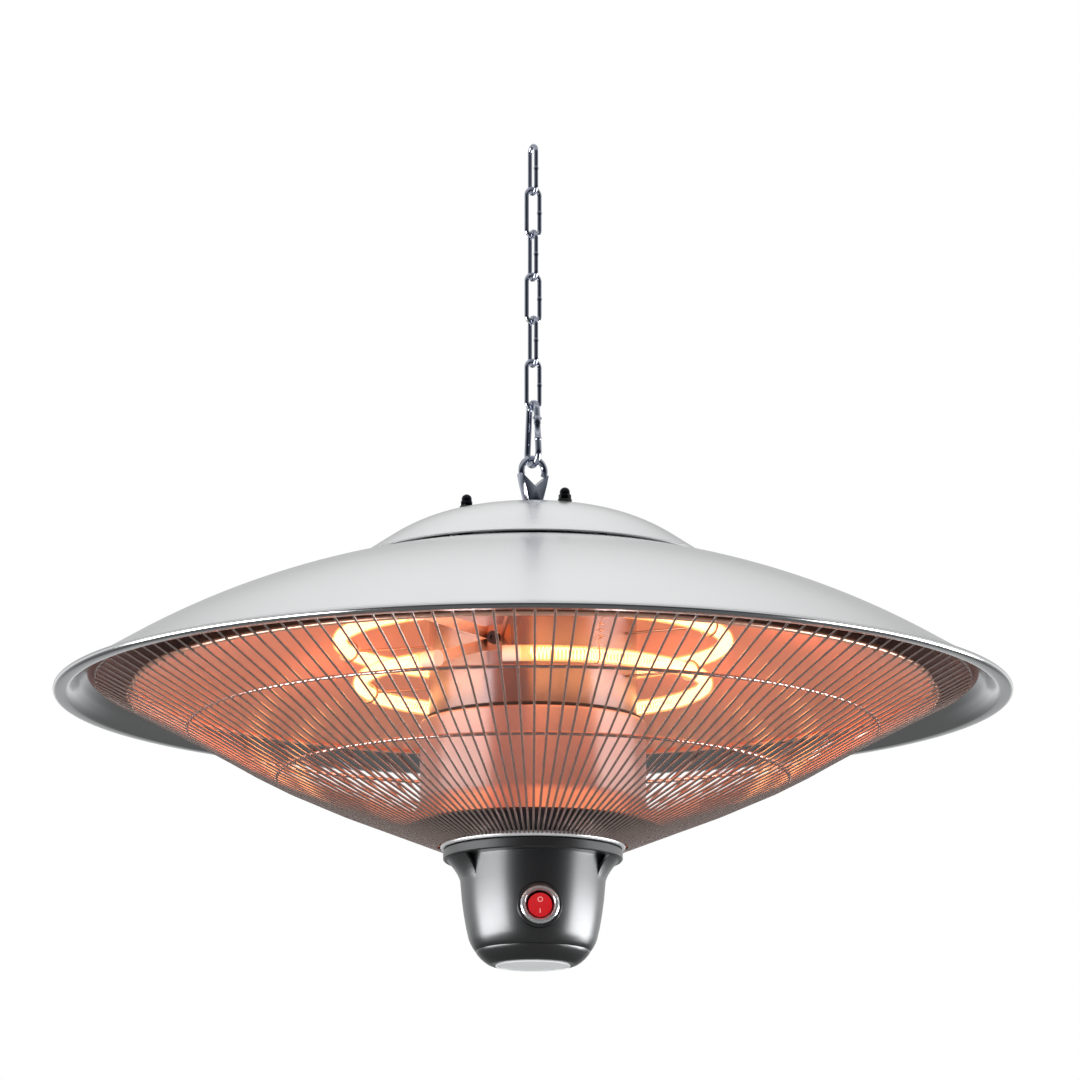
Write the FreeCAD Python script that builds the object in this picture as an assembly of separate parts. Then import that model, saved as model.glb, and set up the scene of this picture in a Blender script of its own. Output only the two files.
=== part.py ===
import FreeCAD, Part
import math
import os

from FreeCAD import Vector

os.makedirs("parts", exist_ok=True)

# Hanging chain: six oval links, a snap hook and a lifting eye
link_wire = 2.8
link_inner_length = 28.2
link_width = 11.8
link_count = 6
wire_gap = 0.3
hang_turn = 20.0
hook_wire = 4.0
hook_length = 44.0
hook_top_width = 15.0
hook_bottom_width = 20.0
gate_pin_drop = 12.8
gate_length = 15.0
gate_wire = 4.4
gate_gap = 0.4
gate_tongue = 1.8
gate_pin_radius = 0.8
eye_wire = 4.0
eye_width = 20.0
eye_height = 33.2
eye_foot_radius = 6.0
eye_horn_radius = 10.4
eye_horn_drop = 11.7
eye_notch_drop = 20.7
eye_thickness = 9.0

# Hanger under the cap: threaded stud, plate, tie rods and mains terminals
stud_radius = 4.0
stud_in_eye = 6.0
stud_below_plate = 9.0
thread_fit = 0.05
nut_flats = 13.0
nut_height = 6.5
plate_radius = 72.0
plate_thickness = 3.0
rod_count = 3
rod_first = 90.0
rod_circle = 36.0
rod_radius = 2.5
rod_nut_flats = 8.0
rod_nut_height = 4.0
terminal_length = 22.0
terminal_depth = 13.0
terminal_height = 13.0
terminal_circle = 60.0
terminal_ways = 3

# Top cap with its four dome nuts and the cable grommet
cap_radius = 111.0
cap_crown_radius = 230.0
cap_crown_reach = 54.0
cap_shoulder_reach = 92.0
cap_edge_angle = 33.7
cap_sheet = 1.0
cap_vent = 2.6
cap_nut_count = 4
cap_nut_circle = 46.0
cap_stud_radius = 2.0
cap_spacer_radius = 5.0
washer_radius = 4.4
washer_height = 1.0
dome_nut_flats = 7.0
dome_nut_height = 7.8
dome_nut_hex = 3.2
seat_gap = 0.05
grommet_reach = 61.0
grommet_bore = 3.6
grommet_neck = 4.6
grommet_flange = 6.4
grommet_lip = 1.3
grommet_slack = 0.3

# Spun dish with a rolled hem, and the polished reflector inside it
dish_radius = 300.0
dome_radius = 515.0
skirt_width = 38.0
dish_sheet = 1.2
hem_width = 9.0
bead_radius = 2.2
crown_flat = 78.0
crown_hole = 45.0
reflector_inset = 51.0
reflector_offset = 15.0
reflector_rise = 4.0
reflector_sheet = 0.8
reflector_bead = 1.6
spacer_count = 6
spacer_inset = 61.0
spacer_radius = 6.0

# Polished column, lower drum and base pan on the axis
column_radius = 65.0
column_wall = 1.0
drum_radius = 70.7
drum_wall = 1.0
drum_drop = 19.0
flare_drop = 71.0
flare_radius = 80.0
drum_bottom_drop = 85.0
pan_sheet = 1.5
pan_floor_radius = 54.0
pan_rim_radius = 81.0
pan_rim_width = 4.0
pan_hole = 14.0

# Two open rings of quartz tube with coiled filaments
tube_radius = 5.0
tube_wall = 1.0
upper_ring_radius = 121.0
upper_ring_rise = 33.0
lower_ring_radius = 108.0
lower_ring_rise = 6.0
gap_middle = 243.4
gap_half = 17.0
end_cap_length = 11.0
filament_wire = 0.8
coil_radius = 2.9
upper_turns = 50
lower_turns = 46
support_wire = 0.8
support_offsets = (-95.0, 0.0, 95.0)
support_fit = 0.3
strap_width = 7.0
strap_thickness = 1.2
bracket_rise = 24.0
bracket_height = 16.0
bracket_spread = 9.0
screw_head_radius = 4.0
screw_head_height = 3.0
screw_radius = 2.0
screw_depth = 5.0

# Conical wire guard
guard_wire = 1.0
guard_wire_count = 136
guard_hoop = 1.25
weld_gap = 0.2
guard_inset = 25.6
guard_top_rise = 6.4
guard_upper_share = (0.2695, 0.2934)
guard_lower_share = (0.5293, 0.5927)
guard_foot_radius = 59.2
guard_foot_drop = 97.2
collar_wall = 2.2
collar_height = 3.2
collar_radius = 57.8
clip_count = 4
clip_room = 0.4
clip_first = 45.0
clip_sheet = 1.5
clip_inner_reach = 7.0
clip_outer_reach = 15.0

# Switch housing under the guard
flange_radius = 56.0
flange_height = 7.0
flange_nut_room = 0.6
spigot_gap = 0.3
cup_top_radius = 46.5
cup_waist_radius = 44.2
cup_waist_drop = 131.0
cup_shoulder_radius = 40.0
cup_shoulder_drop = 155.0
seam_radius = 36.0
seam_drop = 162.6
seam_bulge = 0.9
cup_wall = 2.5
wing_bottom_drop = 123.0
wing_from = 57.0
wing_to = 123.0
wing_wall = 2.2
wing_hollow = 0.28
ledge_drop = 118.0
ledge_width = 5.0
ledge_height = 2.5
cover_bottom_drop = 171.4
cover_bottom_radius = 27.0
cover_wall = 2.5
lens_radius = 23.4
lens_crown = 2.2
lens_rim = 3.4
lens_fit = 0.2
board_thickness = 1.6
receiver_radius = 20.0
relay_size = (19.0, 15.0, 14.0)
housing_screw_circle = 47.0
housing_screw_count = 3
housing_screw_length = 10.0
housing_screw_first = 30.0

# Round rocker switch in the front of the housing
switch_drop = 139.8
boss_radius = 14.0
boss_proud = 1.6
bezel_radius = 12.0
bezel_bore = 8.6
bezel_height = 2.2
switch_barrel = 10.0
switch_bore = 8.6
switch_depth = 17.0
switch_floor = 3.0
rocker_radius = 7.5
rocker_depth = 6.0
rocker_proud = 0.3
rocker_throw = 14.0
pivot_radius = 1.1
pivot_setback = 3.4
pivot_fit = 0.05

origin = Vector(0, 0, 0)
up = Vector(0, 0, 1)


def polar(radius, angle, height):
    turn = math.radians(angle)
    return Vector(radius * math.cos(turn), radius * math.sin(turn), height)


def turned(shape, angle):
    copy = shape.copy()
    copy.rotate(origin, up, angle)
    return copy


def spread(shape, count, first=0.0):
    return Part.makeCompound([turned(shape, first + 360.0 * n / count) for n in range(count)])


def rod(start, end, radius):
    return Part.makeCylinder(radius, (end - start).Length, start, end - start)


# A profile in the XZ plane: a step is a point, or a point on an arc and the arc's end
def profile(start, *steps):
    edges = []
    last = Vector(start[0], 0, start[1])
    for step in steps + (start,):
        if isinstance(step[0], tuple):
            middle = Vector(step[0][0], 0, step[0][1])
            end = Vector(step[1][0], 0, step[1][1])
            edges.append(Part.Arc(last, middle, end).toShape())
        else:
            end = Vector(step[0], 0, step[1])
            edges.append(Part.LineSegment(last, end).toShape())
        last = end
    return Part.Face(Part.Wire(edges))


def revolved(start, *steps, sweep=360.0):
    return profile(start, *steps).revolve(origin, up, sweep)


def washer(inner, outer, low, high):
    return revolved((inner, low), (outer, low), (outer, high), (inner, high))


# A round wire swept along edges that follow on smoothly
def swept(edges, radius):
    path = Part.Wire(edges)
    first = path.Edges[0]
    start = first.valueAt(first.FirstParameter)
    along = first.tangentAt(first.FirstParameter)
    section = Part.Wire(Part.makeCircle(radius, start, along))
    return path.makePipeShell([section], True, False)


def hexagon(flats, height, base):
    corner = flats / math.sqrt(3)
    points = [base + polar(corner, 60 * n, 0) for n in range(7)]
    return Part.Face(Part.makePolygon(points)).extrude(up * height)


# A flat bar between two points, standing on edge
def strap(start, end, width, thickness):
    along = (end - start).normalize()
    across = up.cross(along).normalize()
    tall = along.cross(across)
    bar = Part.makeBox((end - start).Length, thickness, width, Vector(0, -thickness / 2, -width / 2))
    bar.Placement = FreeCAD.Placement(start, FreeCAD.Rotation(along, across, tall, "XYZ"))
    return bar


def save(name, shape):
    shape.exportStep("parts/" + name + ".step")


# Heights down the chain, from the bearing point inside the top link
link_bend = (link_width - link_wire) / 2
link_top = link_wire / 2
link_drop = link_inner_length + link_wire
link_pitch = link_inner_length - wire_gap
first_hinge = link_top - link_drop
last_hinge = first_hinge - link_pitch * (link_count - 1)
hook_top = last_hinge + (link_wire + hook_wire) / 2 + wire_gap
hook_bottom = hook_top - (hook_length - hook_wire)
eye_crown = hook_bottom + (hook_wire + eye_wire) / 2 + wire_gap
eye_top = eye_crown + eye_wire / 2
eye_seat = eye_top - eye_height
even_turn = hang_turn
odd_turn = hang_turn - 90

# Dome and cap heights above the rim plane
skirt_start = dish_radius - skirt_width
skirt_angle = math.asin(skirt_start / dome_radius)
skirt_end = dish_radius - bead_radius
skirt_rise = (skirt_end - skirt_start) * math.tan(skirt_angle)
dome_centre_rise = skirt_rise - dome_radius * math.cos(skirt_angle)


def dome_rise(radius):
    return dome_centre_rise + math.sqrt(dome_radius**2 - radius**2)


edge_angle = math.radians(cap_edge_angle)
crown_angle = math.asin(cap_crown_reach / cap_crown_radius)
shoulder_bend = (cap_shoulder_reach - cap_crown_reach) / (math.sin(edge_angle) - math.sin(crown_angle))
cap_edge_rise = dome_rise(cap_radius) + cap_vent
shoulder_rise = cap_edge_rise + (cap_radius - cap_shoulder_reach) * math.tan(edge_angle)
crown_end_rise = shoulder_rise + shoulder_bend * (math.cos(crown_angle) - math.cos(edge_angle))
cap_rise = crown_end_rise + cap_crown_radius * (1 - math.cos(crown_angle))
rim = eye_seat - cap_rise
dome_centre = rim + dome_centre_rise
cap_crown_centre = eye_seat - cap_crown_radius
crown_height = rim + dome_rise(crown_flat)
plate_top = crown_height + plate_thickness


# Chain links: odd and even links stand square to each other
def chain_link(number):
    top = link_top - (number - 1) * link_pitch
    if number > 1:
        top = first_hinge + link_wire + wire_gap - (number - 2) * link_pitch
    high = top - link_bend
    low = top - link_drop + link_bend
    corners = [
        Vector(-link_bend, 0, low), Vector(-link_bend, 0, high),
        Vector(link_bend, 0, high), Vector(link_bend, 0, low),
    ]
    crown = Vector(0, 0, high + link_bend)
    foot = Vector(0, 0, low - link_bend)
    edges = [
        Part.LineSegment(corners[0], corners[1]).toShape(),
        Part.Arc(corners[1], crown, corners[2]).toShape(),
        Part.LineSegment(corners[2], corners[3]).toShape(),
        Part.Arc(corners[3], foot, corners[0]).toShape(),
    ]
    return turned(swept(edges, link_wire / 2), odd_turn if number % 2 else even_turn)


for number in range(1, link_count + 1):
    save("chain_link_%d" % number, chain_link(number))

# Snap hook: a pear-shaped wire with a sprung gate on one side
hook_turn = odd_turn
top_bend = (hook_top_width - hook_wire) / 2
bottom_bend = (hook_bottom_width - hook_wire) / 2
top_centre = Vector(0, 0, hook_top - top_bend)
bottom_centre = Vector(0, 0, hook_bottom + bottom_bend)
lean = math.asin((bottom_bend - top_bend) / (top_centre.z - bottom_centre.z))
side = Vector(math.cos(lean), 0, math.sin(lean))
side_down = Vector(math.sin(lean), 0, -math.cos(lean))
other_side = Vector(-side.x, 0, side.z)
leg_top = top_centre + side * top_bend
pin_along = (hook_top + hook_wire / 2 - gate_pin_drop - leg_top.z) / side_down.z
pin_point = leg_top + side_down * pin_along
latch_point = pin_point + side_down * gate_length
tongue_end = pin_point + side_down * (gate_wire / 2)
leg_bottom = bottom_centre + side * bottom_bend
far_leg_top = top_centre + other_side * top_bend
far_leg_bottom = bottom_centre + other_side * bottom_bend
crown_point = Vector(0, 0, hook_top)
bowl_point = Vector(0, 0, hook_bottom)
hook_edges = [
    Part.LineSegment(tongue_end, leg_top).toShape(),
    Part.Arc(leg_top, crown_point, far_leg_top).toShape(),
    Part.LineSegment(far_leg_top, far_leg_bottom).toShape(),
    Part.Arc(far_leg_bottom, bowl_point, leg_bottom).toShape(),
    Part.LineSegment(leg_bottom, latch_point).toShape(),
]
# Beside the gate's fork the hook's end is pressed flat, with a hole for the pin
fork_top = pin_point - side_down * (gate_wire / 2 + gate_gap)
press_length = gate_wire + 2 * gate_gap + hook_wire
press = Part.makeBox(hook_wire * 2, hook_wire, press_length, Vector(-hook_wire, 0, -press_length))
press.Placement = FreeCAD.Placement(fork_top, FreeCAD.Rotation(up, side_down * -1))
press_offsets = (gate_tongue / 2, -gate_tongue / 2 - hook_wire)
press_sides = [press.translated(Vector(0, offset, 0)) for offset in press_offsets]
pin_reach = Vector(0, gate_wire / 2, 0)
pin_hole = rod(pin_point - pin_reach, pin_point + pin_reach, gate_pin_radius + thread_fit)
hook_body = swept(hook_edges, hook_wire / 2)
near_pin = Part.makeSphere(press_length, pin_point)
hook_body = hook_body.cut([piece.common(near_pin) for piece in press_sides]).cut(pin_hole)
save("snap_hook_body", turned(hook_body, hook_turn))
# The gate's fork straddles the flat end, and its tip stops short of the latch
gate_head = pin_point - side_down * (2 * gate_pin_radius)
gate = rod(gate_head, latch_point - side_down * gate_gap, gate_wire / 2)
tongue_swing = math.hypot(gate_wire / 2, hook_wire / 2)
slot_length = gate_wire / 2 + tongue_swing + 2 * gate_gap
slot_width = gate_tongue + 2 * gate_gap
slot = Part.makeBox(gate_wire * 2, slot_width, slot_length, Vector(-gate_wire, -slot_width / 2, -slot_length))
slot.Placement = FreeCAD.Placement(fork_top, FreeCAD.Rotation(up, side_down * -1))
save("snap_hook_gate", turned(gate.cut(slot).cut(pin_hole), hook_turn))
save("gate_pin", turned(rod(pin_point - pin_reach, pin_point + pin_reach, gate_pin_radius), hook_turn))

# Lifting eye: a half ring whose ends run into a flared, notched foot
eye_bend = (eye_width - eye_wire) / 2
eye_centre = eye_crown - eye_bend
horn_height = eye_top - eye_horn_drop
notch_height = eye_top - eye_notch_drop
eye_ring = Part.makeTorus(eye_bend, eye_wire / 2, Vector(0, 0, eye_centre), Vector(0, 1, 0))
above = Part.makeBox(
    eye_width * 2, eye_width, eye_width, Vector(-eye_width, -eye_width / 2, horn_height - eye_wire / 2)
)
foot = revolved(
    (0, eye_seat), (eye_foot_radius, eye_seat), (eye_foot_radius, eye_seat + eye_wire / 2),
    (eye_horn_radius, horn_height), (0, horn_height),
)
flat = Part.makeBox(
    eye_width * 2, eye_thickness, eye_height, Vector(-eye_width, -eye_thickness / 2, eye_seat)
)
notch = profile((0, notch_height), (eye_horn_radius, horn_height), (-eye_horn_radius, horn_height))
notch = notch.extrude(Vector(0, eye_width, 0)).translated(Vector(0, -eye_width / 2, 0))
eye = foot.common(flat).cut(notch).fuse(eye_ring.common(above))
stud_top = eye_seat + stud_in_eye
eye_thread = rod(Vector(0, 0, eye_seat), Vector(0, 0, stud_top + seat_gap), stud_radius + thread_fit)
save("lifting_eye", turned(eye.cut(eye_thread), even_turn))

# Threaded stud, its two nuts and the hanger plate on the dish's flat crown
stud_bottom = crown_height - stud_below_plate
save("hanger_stud", rod(Vector(0, 0, stud_bottom), Vector(0, 0, stud_top), stud_radius))
stud_bore = rod(Vector(0, 0, stud_bottom), Vector(0, 0, stud_top), stud_radius + thread_fit)
stud_nuts = [hexagon(nut_flats, nut_height, Vector(0, 0, z)) for z in (plate_top, crown_height - nut_height)]
save("stud_nuts", Part.makeCompound([nut.cut(stud_bore) for nut in stud_nuts]))

pan_floor = rim - guard_foot_drop + collar_height / 2
pan_floor_top = pan_floor + pan_sheet
rod_bottom = pan_floor - rod_nut_height - rod_radius
rod_top = plate_top + rod_nut_height + rod_radius
tie_rod = rod(Vector(rod_circle, 0, rod_bottom), Vector(rod_circle, 0, rod_top), rod_radius)
rod_bore = rod(Vector(rod_circle, 0, rod_bottom), Vector(rod_circle, 0, rod_top), rod_radius + thread_fit)
save("tie_rods", spread(tie_rod, rod_count, rod_first))
rod_nuts = [
    hexagon(rod_nut_flats, rod_nut_height, Vector(rod_circle, 0, z)).cut(rod_bore)
    for z in (plate_top, pan_floor - rod_nut_height)
]
save("tie_rod_nuts", spread(Part.makeCompound(rod_nuts), rod_count, rod_first))
rod_bores = spread(rod_bore, rod_count, rod_first)

crown_at_nut = math.sqrt(cap_crown_radius**2 - cap_nut_circle**2) + cap_crown_centre
nut_seat = crown_at_nut + washer_height
stud_place = Vector(cap_nut_circle, 0, crown_height)
cap_stud = rod(stud_place, Vector(cap_nut_circle, 0, nut_seat + dome_nut_hex), cap_stud_radius)
cap_bore = rod(stud_place, Vector(cap_nut_circle, 0, nut_seat + dome_nut_hex), cap_stud_radius + thread_fit)
cap_bores = spread(cap_bore, cap_nut_count, hang_turn)
plate = washer(stud_radius + thread_fit, plate_radius, crown_height, plate_top)
save("hanger_plate", plate.cut([rod_bores, cap_bores]))
save("cap_studs", spread(cap_stud, cap_nut_count, hang_turn))

terminal = Part.makeBox(
    terminal_depth, terminal_length, terminal_height,
    Vector(-terminal_circle - terminal_depth / 2, -terminal_length / 2, plate_top),
)
for way in range(terminal_ways):
    along = terminal_length * ((way + 0.5) / terminal_ways - 0.5)
    place = Vector(-terminal_circle, along, plate_top + terminal_height)
    way_radius = terminal_length / terminal_ways / 4
    terminal = terminal.cut(rod(place, place - up * (terminal_height / 2), way_radius))
save("terminal_block", terminal)


# Top cap, spun as a crown, a shoulder and a straight edge
def cap_point(angle, inset):
    if angle <= crown_angle:
        bend = cap_crown_radius
        centre = (0, cap_crown_centre)
    else:
        bend = shoulder_bend
        centre = (
            cap_crown_reach - shoulder_bend * math.sin(crown_angle),
            rim + crown_end_rise - shoulder_bend * math.cos(crown_angle),
        )
    reach = bend - inset
    return (centre[0] + reach * math.sin(angle), centre[1] + reach * math.cos(angle))


def cap_skin(inset):
    start = math.asin((stud_radius + thread_fit) / (cap_crown_radius - inset))
    shoulder = cap_point(edge_angle, inset)
    slide = cap_radius - cap_shoulder_reach
    edge = (shoulder[0] + slide, shoulder[1] - slide * math.tan(edge_angle))
    return [
        cap_point(start, inset),
        cap_point((start + crown_angle) / 2, inset),
        cap_point(crown_angle, inset),
        cap_point((crown_angle + edge_angle) / 2, inset),
        shoulder,
        edge,
    ]


outer = cap_skin(0)
inner = cap_skin(cap_sheet)
cap = revolved(
    outer[0], (outer[1], outer[2]), (outer[3], outer[4]), outer[5],
    inner[5], inner[4], (inner[3], inner[2]), (inner[1], inner[0]),
)
grommet_slope = math.asin(
    (grommet_reach - cap_crown_reach + shoulder_bend * math.sin(crown_angle)) / shoulder_bend
)
grommet_place = cap_point(grommet_slope, 0)
grommet_point = Vector(-grommet_place[0], 0, grommet_place[1])
grommet_axis = Vector(-math.sin(grommet_slope), 0, math.cos(grommet_slope))
grommet_hole = Part.makeCylinder(
    grommet_neck + seat_gap, cap_sheet * 8, grommet_point - grommet_axis * cap_sheet * 4, grommet_axis
)
save("top_cap", cap.cut([cap_bores, grommet_hole]))


def grommet_disc(radius, low, high):
    return Part.makeCylinder(radius, high - low, grommet_point + grommet_axis * low, grommet_axis)


grommet_under = -cap_sheet - grommet_slack
grommet = grommet_disc(grommet_flange, seat_gap, grommet_lip)
grommet = grommet.fuse(grommet_disc(grommet_neck, grommet_under - grommet_lip, seat_gap))
grommet = grommet.fuse(
    grommet_disc(grommet_flange, grommet_under - grommet_lip, grommet_under)
)
bore = grommet_disc(grommet_bore, -cap_sheet * 4 - grommet_lip, grommet_lip + cap_sheet)
save("cable_grommet", grommet.removeSplitter().cut(bore))

crown_ball = Part.makeSphere(cap_crown_radius + seat_gap, Vector(0, 0, cap_crown_centre))
under_crown = Part.makeSphere(cap_crown_radius - cap_sheet - seat_gap, Vector(0, 0, cap_crown_centre))
spacer = rod(Vector(cap_nut_circle, 0, plate_top), Vector(cap_nut_circle, 0, nut_seat), cap_spacer_radius)
spacer = spacer.common(under_crown).cut(cap_bore)
save("cap_spacers", spread(spacer, cap_nut_count, hang_turn))
nut_base = Vector(cap_nut_circle, 0, nut_seat)
wedge = rod(Vector(cap_nut_circle, 0, crown_at_nut - washer_height), nut_base, washer_radius)
save("cap_washers", spread(wedge.cut(crown_ball).cut(cap_bore), cap_nut_count, hang_turn))
dome_nut = hexagon(dome_nut_flats, dome_nut_hex, nut_base)
nut_ball = dome_nut_flats / 2 - wire_gap
dome_nut = dome_nut.fuse(rod(nut_base, nut_base + up * (dome_nut_height - nut_ball), nut_ball))
dome_nut = dome_nut.fuse(Part.makeSphere(nut_ball, nut_base + up * (dome_nut_height - nut_ball)))
trim = rod(nut_base, nut_base + up * (dome_nut_height + nut_ball), dome_nut_flats)
dome_nut = dome_nut.common(trim).cut(cap_bore)
save("cap_dome_nuts", spread(dome_nut, cap_nut_count, hang_turn))


# Dish: flat crown, spherical dome, straight skirt and rolled hem
def dome_point(angle, inset):
    reach = dome_radius - inset
    return (reach * math.sin(angle), dome_centre + reach * math.cos(angle))


def skirt_point(radius, inset):
    height = rim + (skirt_end - radius) * math.tan(skirt_angle)
    return (radius, height - inset / math.cos(skirt_angle))


def flat_angle(inset):
    return math.acos((crown_height - inset - dome_centre) / (dome_radius - inset))


outer_flat = flat_angle(0)
inner_flat = flat_angle(dish_sheet)
shell = revolved(
    (crown_hole, crown_height),
    dome_point(outer_flat, 0),
    (dome_point((outer_flat + skirt_angle) / 2, 0), dome_point(skirt_angle, 0)),
    skirt_point(skirt_end, 0),
    skirt_point(skirt_end, dish_sheet),
    dome_point(skirt_angle, dish_sheet),
    (dome_point((inner_flat + skirt_angle) / 2, dish_sheet), dome_point(inner_flat, dish_sheet)),
    (crown_hole, crown_height - dish_sheet),
)
hem_inner = dish_radius - hem_width
hem = revolved(
    (hem_inner, rim - bead_radius),
    (skirt_end, rim - bead_radius),
    ((dish_radius, rim), (skirt_end, rim + bead_radius)),
    skirt_point(skirt_end - bead_radius / math.tan(skirt_angle), 0),
    skirt_point(hem_inner, dish_sheet / 2),
)
dish = shell.fuse(hem).removeSplitter()
save("dish", dish)

# Inner reflector: a second spun dome with a small rolled edge
reflector_radius = dish_radius - reflector_inset
reflector_dome = dome_radius - reflector_offset
spacer_circle = reflector_radius - spacer_inset
reflector_centre = rim + reflector_rise - math.sqrt(reflector_dome**2 - reflector_radius**2)


def reflector_point(radius, proud):
    bend = reflector_dome + proud
    return (radius, reflector_centre + math.sqrt(bend**2 - radius**2))


reflector_hole = column_radius + wire_gap
reflector_middle = (reflector_hole + reflector_radius) / 2
reflector = revolved(
    reflector_point(reflector_hole, 0),
    (reflector_point(reflector_middle, 0), reflector_point(reflector_radius, 0)),
    reflector_point(reflector_radius, reflector_sheet),
    (reflector_point(reflector_middle, reflector_sheet), reflector_point(reflector_hole, reflector_sheet)),
)
rolled_edge = Part.makeTorus(reflector_radius, reflector_bead, Vector(0, 0, rim + reflector_rise))
save("inner_reflector", reflector.fuse(rolled_edge).removeSplitter())
dish_inside = Part.makeSphere(dome_radius - dish_sheet - seat_gap, Vector(0, 0, dome_centre))
reflector_back = Part.makeSphere(reflector_dome + reflector_sheet + seat_gap, Vector(0, 0, reflector_centre))
post = rod(Vector(spacer_circle, 0, rim), Vector(spacer_circle, 0, crown_height), spacer_radius)
save("reflector_spacers", spread(post.common(dish_inside).cut(reflector_back), spacer_count, rod_first))

# Column, drum and base pan
drum_top = rim - drum_drop
column_top = crown_height - dish_sheet
save("reflector_column", washer(column_radius - column_wall, column_radius, drum_top, column_top))
lid_inner = column_radius - column_wall * 4
flare_height = rim - flare_drop
drum_bottom = rim - drum_bottom_drop
drum = revolved(
    (lid_inner, drum_top),
    (drum_radius, drum_top),
    (drum_radius, flare_height),
    (flare_radius, drum_bottom),
    (flare_radius - drum_wall, drum_bottom),
    (drum_radius - drum_wall, flare_height),
    (drum_radius - drum_wall, drum_top - drum_wall),
    (lid_inner, drum_top - drum_wall),
)
save("lower_drum", drum)
pan = revolved(
    (pan_hole, pan_floor),
    (pan_floor_radius, pan_floor),
    (pan_rim_radius, drum_bottom - pan_sheet),
    (pan_rim_radius, drum_bottom),
    (pan_rim_radius - pan_rim_width, drum_bottom),
    (pan_floor_radius - pan_sheet, pan_floor_top),
    (pan_hole, pan_floor_top),
)


# Quartz rings, open at the front left, each closed by two ceramic end caps
def ring_frame(radius, height, angle):
    return polar(radius, angle, height), polar(1, angle, 0), polar(1, angle + 90, 0)


def quartz_tube(radius, height):
    first = gap_middle + gap_half - 360
    sweep = 360 - 2 * gap_half
    place, outward, along = ring_frame(radius, height, first)
    face = Part.Face([
        Part.Wire(Part.makeCircle(tube_radius, place, along)),
        Part.Wire(Part.makeCircle(tube_radius - tube_wall, place, along)),
    ])
    return face.revolve(origin, up, sweep)


def end_caps(radius, height):
    caps = []
    for angle, sense in ((gap_middle + gap_half, -1), (gap_middle - gap_half, 1)):
        place, outward, along = ring_frame(radius, height, angle)
        caps.append(rod(place, place + along * sense * end_cap_length, tube_radius))
    return caps


# Two arcs that leave one point and reach the next along the given directions
def biarc(start, leave, end, arrive):
    gap = end - start
    both = leave + arrive
    spare = 2 * (1 - leave.dot(arrive))
    reach = gap.dot(both)
    step = (math.sqrt(reach**2 + spare * gap.dot(gap)) - reach) / spare
    middle = (start + end + (leave - arrive) * step) * 0.5
    arcs = []
    for begin, finish, heading, sense in ((start, middle, leave, 1), (end, middle, arrive * -1, -1)):
        chord = finish - begin
        ahead = Vector(chord).normalize()
        bow = heading - ahead * heading.dot(ahead)
        bow.normalize()
        half = heading.getAngle(ahead) / 2
        crest = begin + chord * 0.5 + bow * (chord.Length / 2 * math.tan(half))
        ends = (begin, crest, finish) if sense > 0 else (finish, crest, begin)
        arcs.append(Part.Arc(*ends).toShape())
    return arcs


# Filament: one wire wound evenly inside the tube, with short straight ends
def filament(radius, height, turns):
    first = gap_middle + gap_half - 360
    sweep = 360 - 2 * gap_half
    lead_angle = math.degrees((filament_wire + coil_radius) / radius)
    quarters = turns * 4
    winding = (sweep - 2 * lead_angle) / quarters

    def on_coil(step):
        place, outward, along = ring_frame(radius, height, first + lead_angle + winding * step)
        turn = math.pi / 2 * step
        return place + (outward * math.cos(turn) + up * math.sin(turn)) * coil_radius

    def heading(step):
        small = 0.001
        return (on_coil(step + small) - on_coil(step - small)).normalize()

    edges = []
    place, outward, along = ring_frame(radius, height, first)
    stub = place + along * filament_wire
    edges.append(Part.LineSegment(place, stub).toShape())
    edges += biarc(stub, along, on_coil(0), heading(0))
    for step in range(quarters):
        edges += biarc(on_coil(step), heading(step), on_coil(step + 1), heading(step + 1))
    place, outward, along = ring_frame(radius, height, first + sweep)
    stub = place - along * filament_wire
    edges += biarc(on_coil(quarters), heading(quarters), stub, along)
    edges.append(Part.LineSegment(stub, place).toShape())
    points = [on_coil(n / 2.0) for n in range(quarters * 2 + 1)]
    apart = [(a - b).Length for n, a in enumerate(points) for b in points[n + 6:n + 14]]
    print("filament least gap to itself %.2f mm" % (min(apart) - filament_wire))
    wire = swept(edges, filament_wire / 2)
    length = sum(edge.Length for edge in edges)
    section = math.pi * filament_wire**2 / 4
    print("filament volume over section times length %.4f" % (wire.Volume / (section * length)))
    return wire


rings = {
    "upper": (upper_ring_radius, rim + upper_ring_rise, upper_turns),
    "lower": (lower_ring_radius, rim + lower_ring_rise, lower_turns),
}
for name, (radius, height, turns) in rings.items():
    save(name + "_quartz_tube", quartz_tube(radius, height))
    save(name + "_filament", filament(radius, height, turns))
    save(name + "_tube_end_caps", Part.makeCompound(end_caps(radius, height)))

# Thin wire supports from the column, each with a ring round its tube
supports = []
eyelet = tube_radius + support_fit + support_wire
for radius, height, turns in rings.values():
    for offset in support_offsets:
        angle = gap_middle + 180 + offset
        place, outward, along = ring_frame(radius, height, angle)
        loop = Part.makeTorus(eyelet, support_wire, place, along)
        stem = rod(polar(column_radius + seat_gap, angle, height), place - outward * eyelet, support_wire)
        supports.append(loop.fuse(stem))
save("tube_support_wires", Part.makeCompound(supports))

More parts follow.
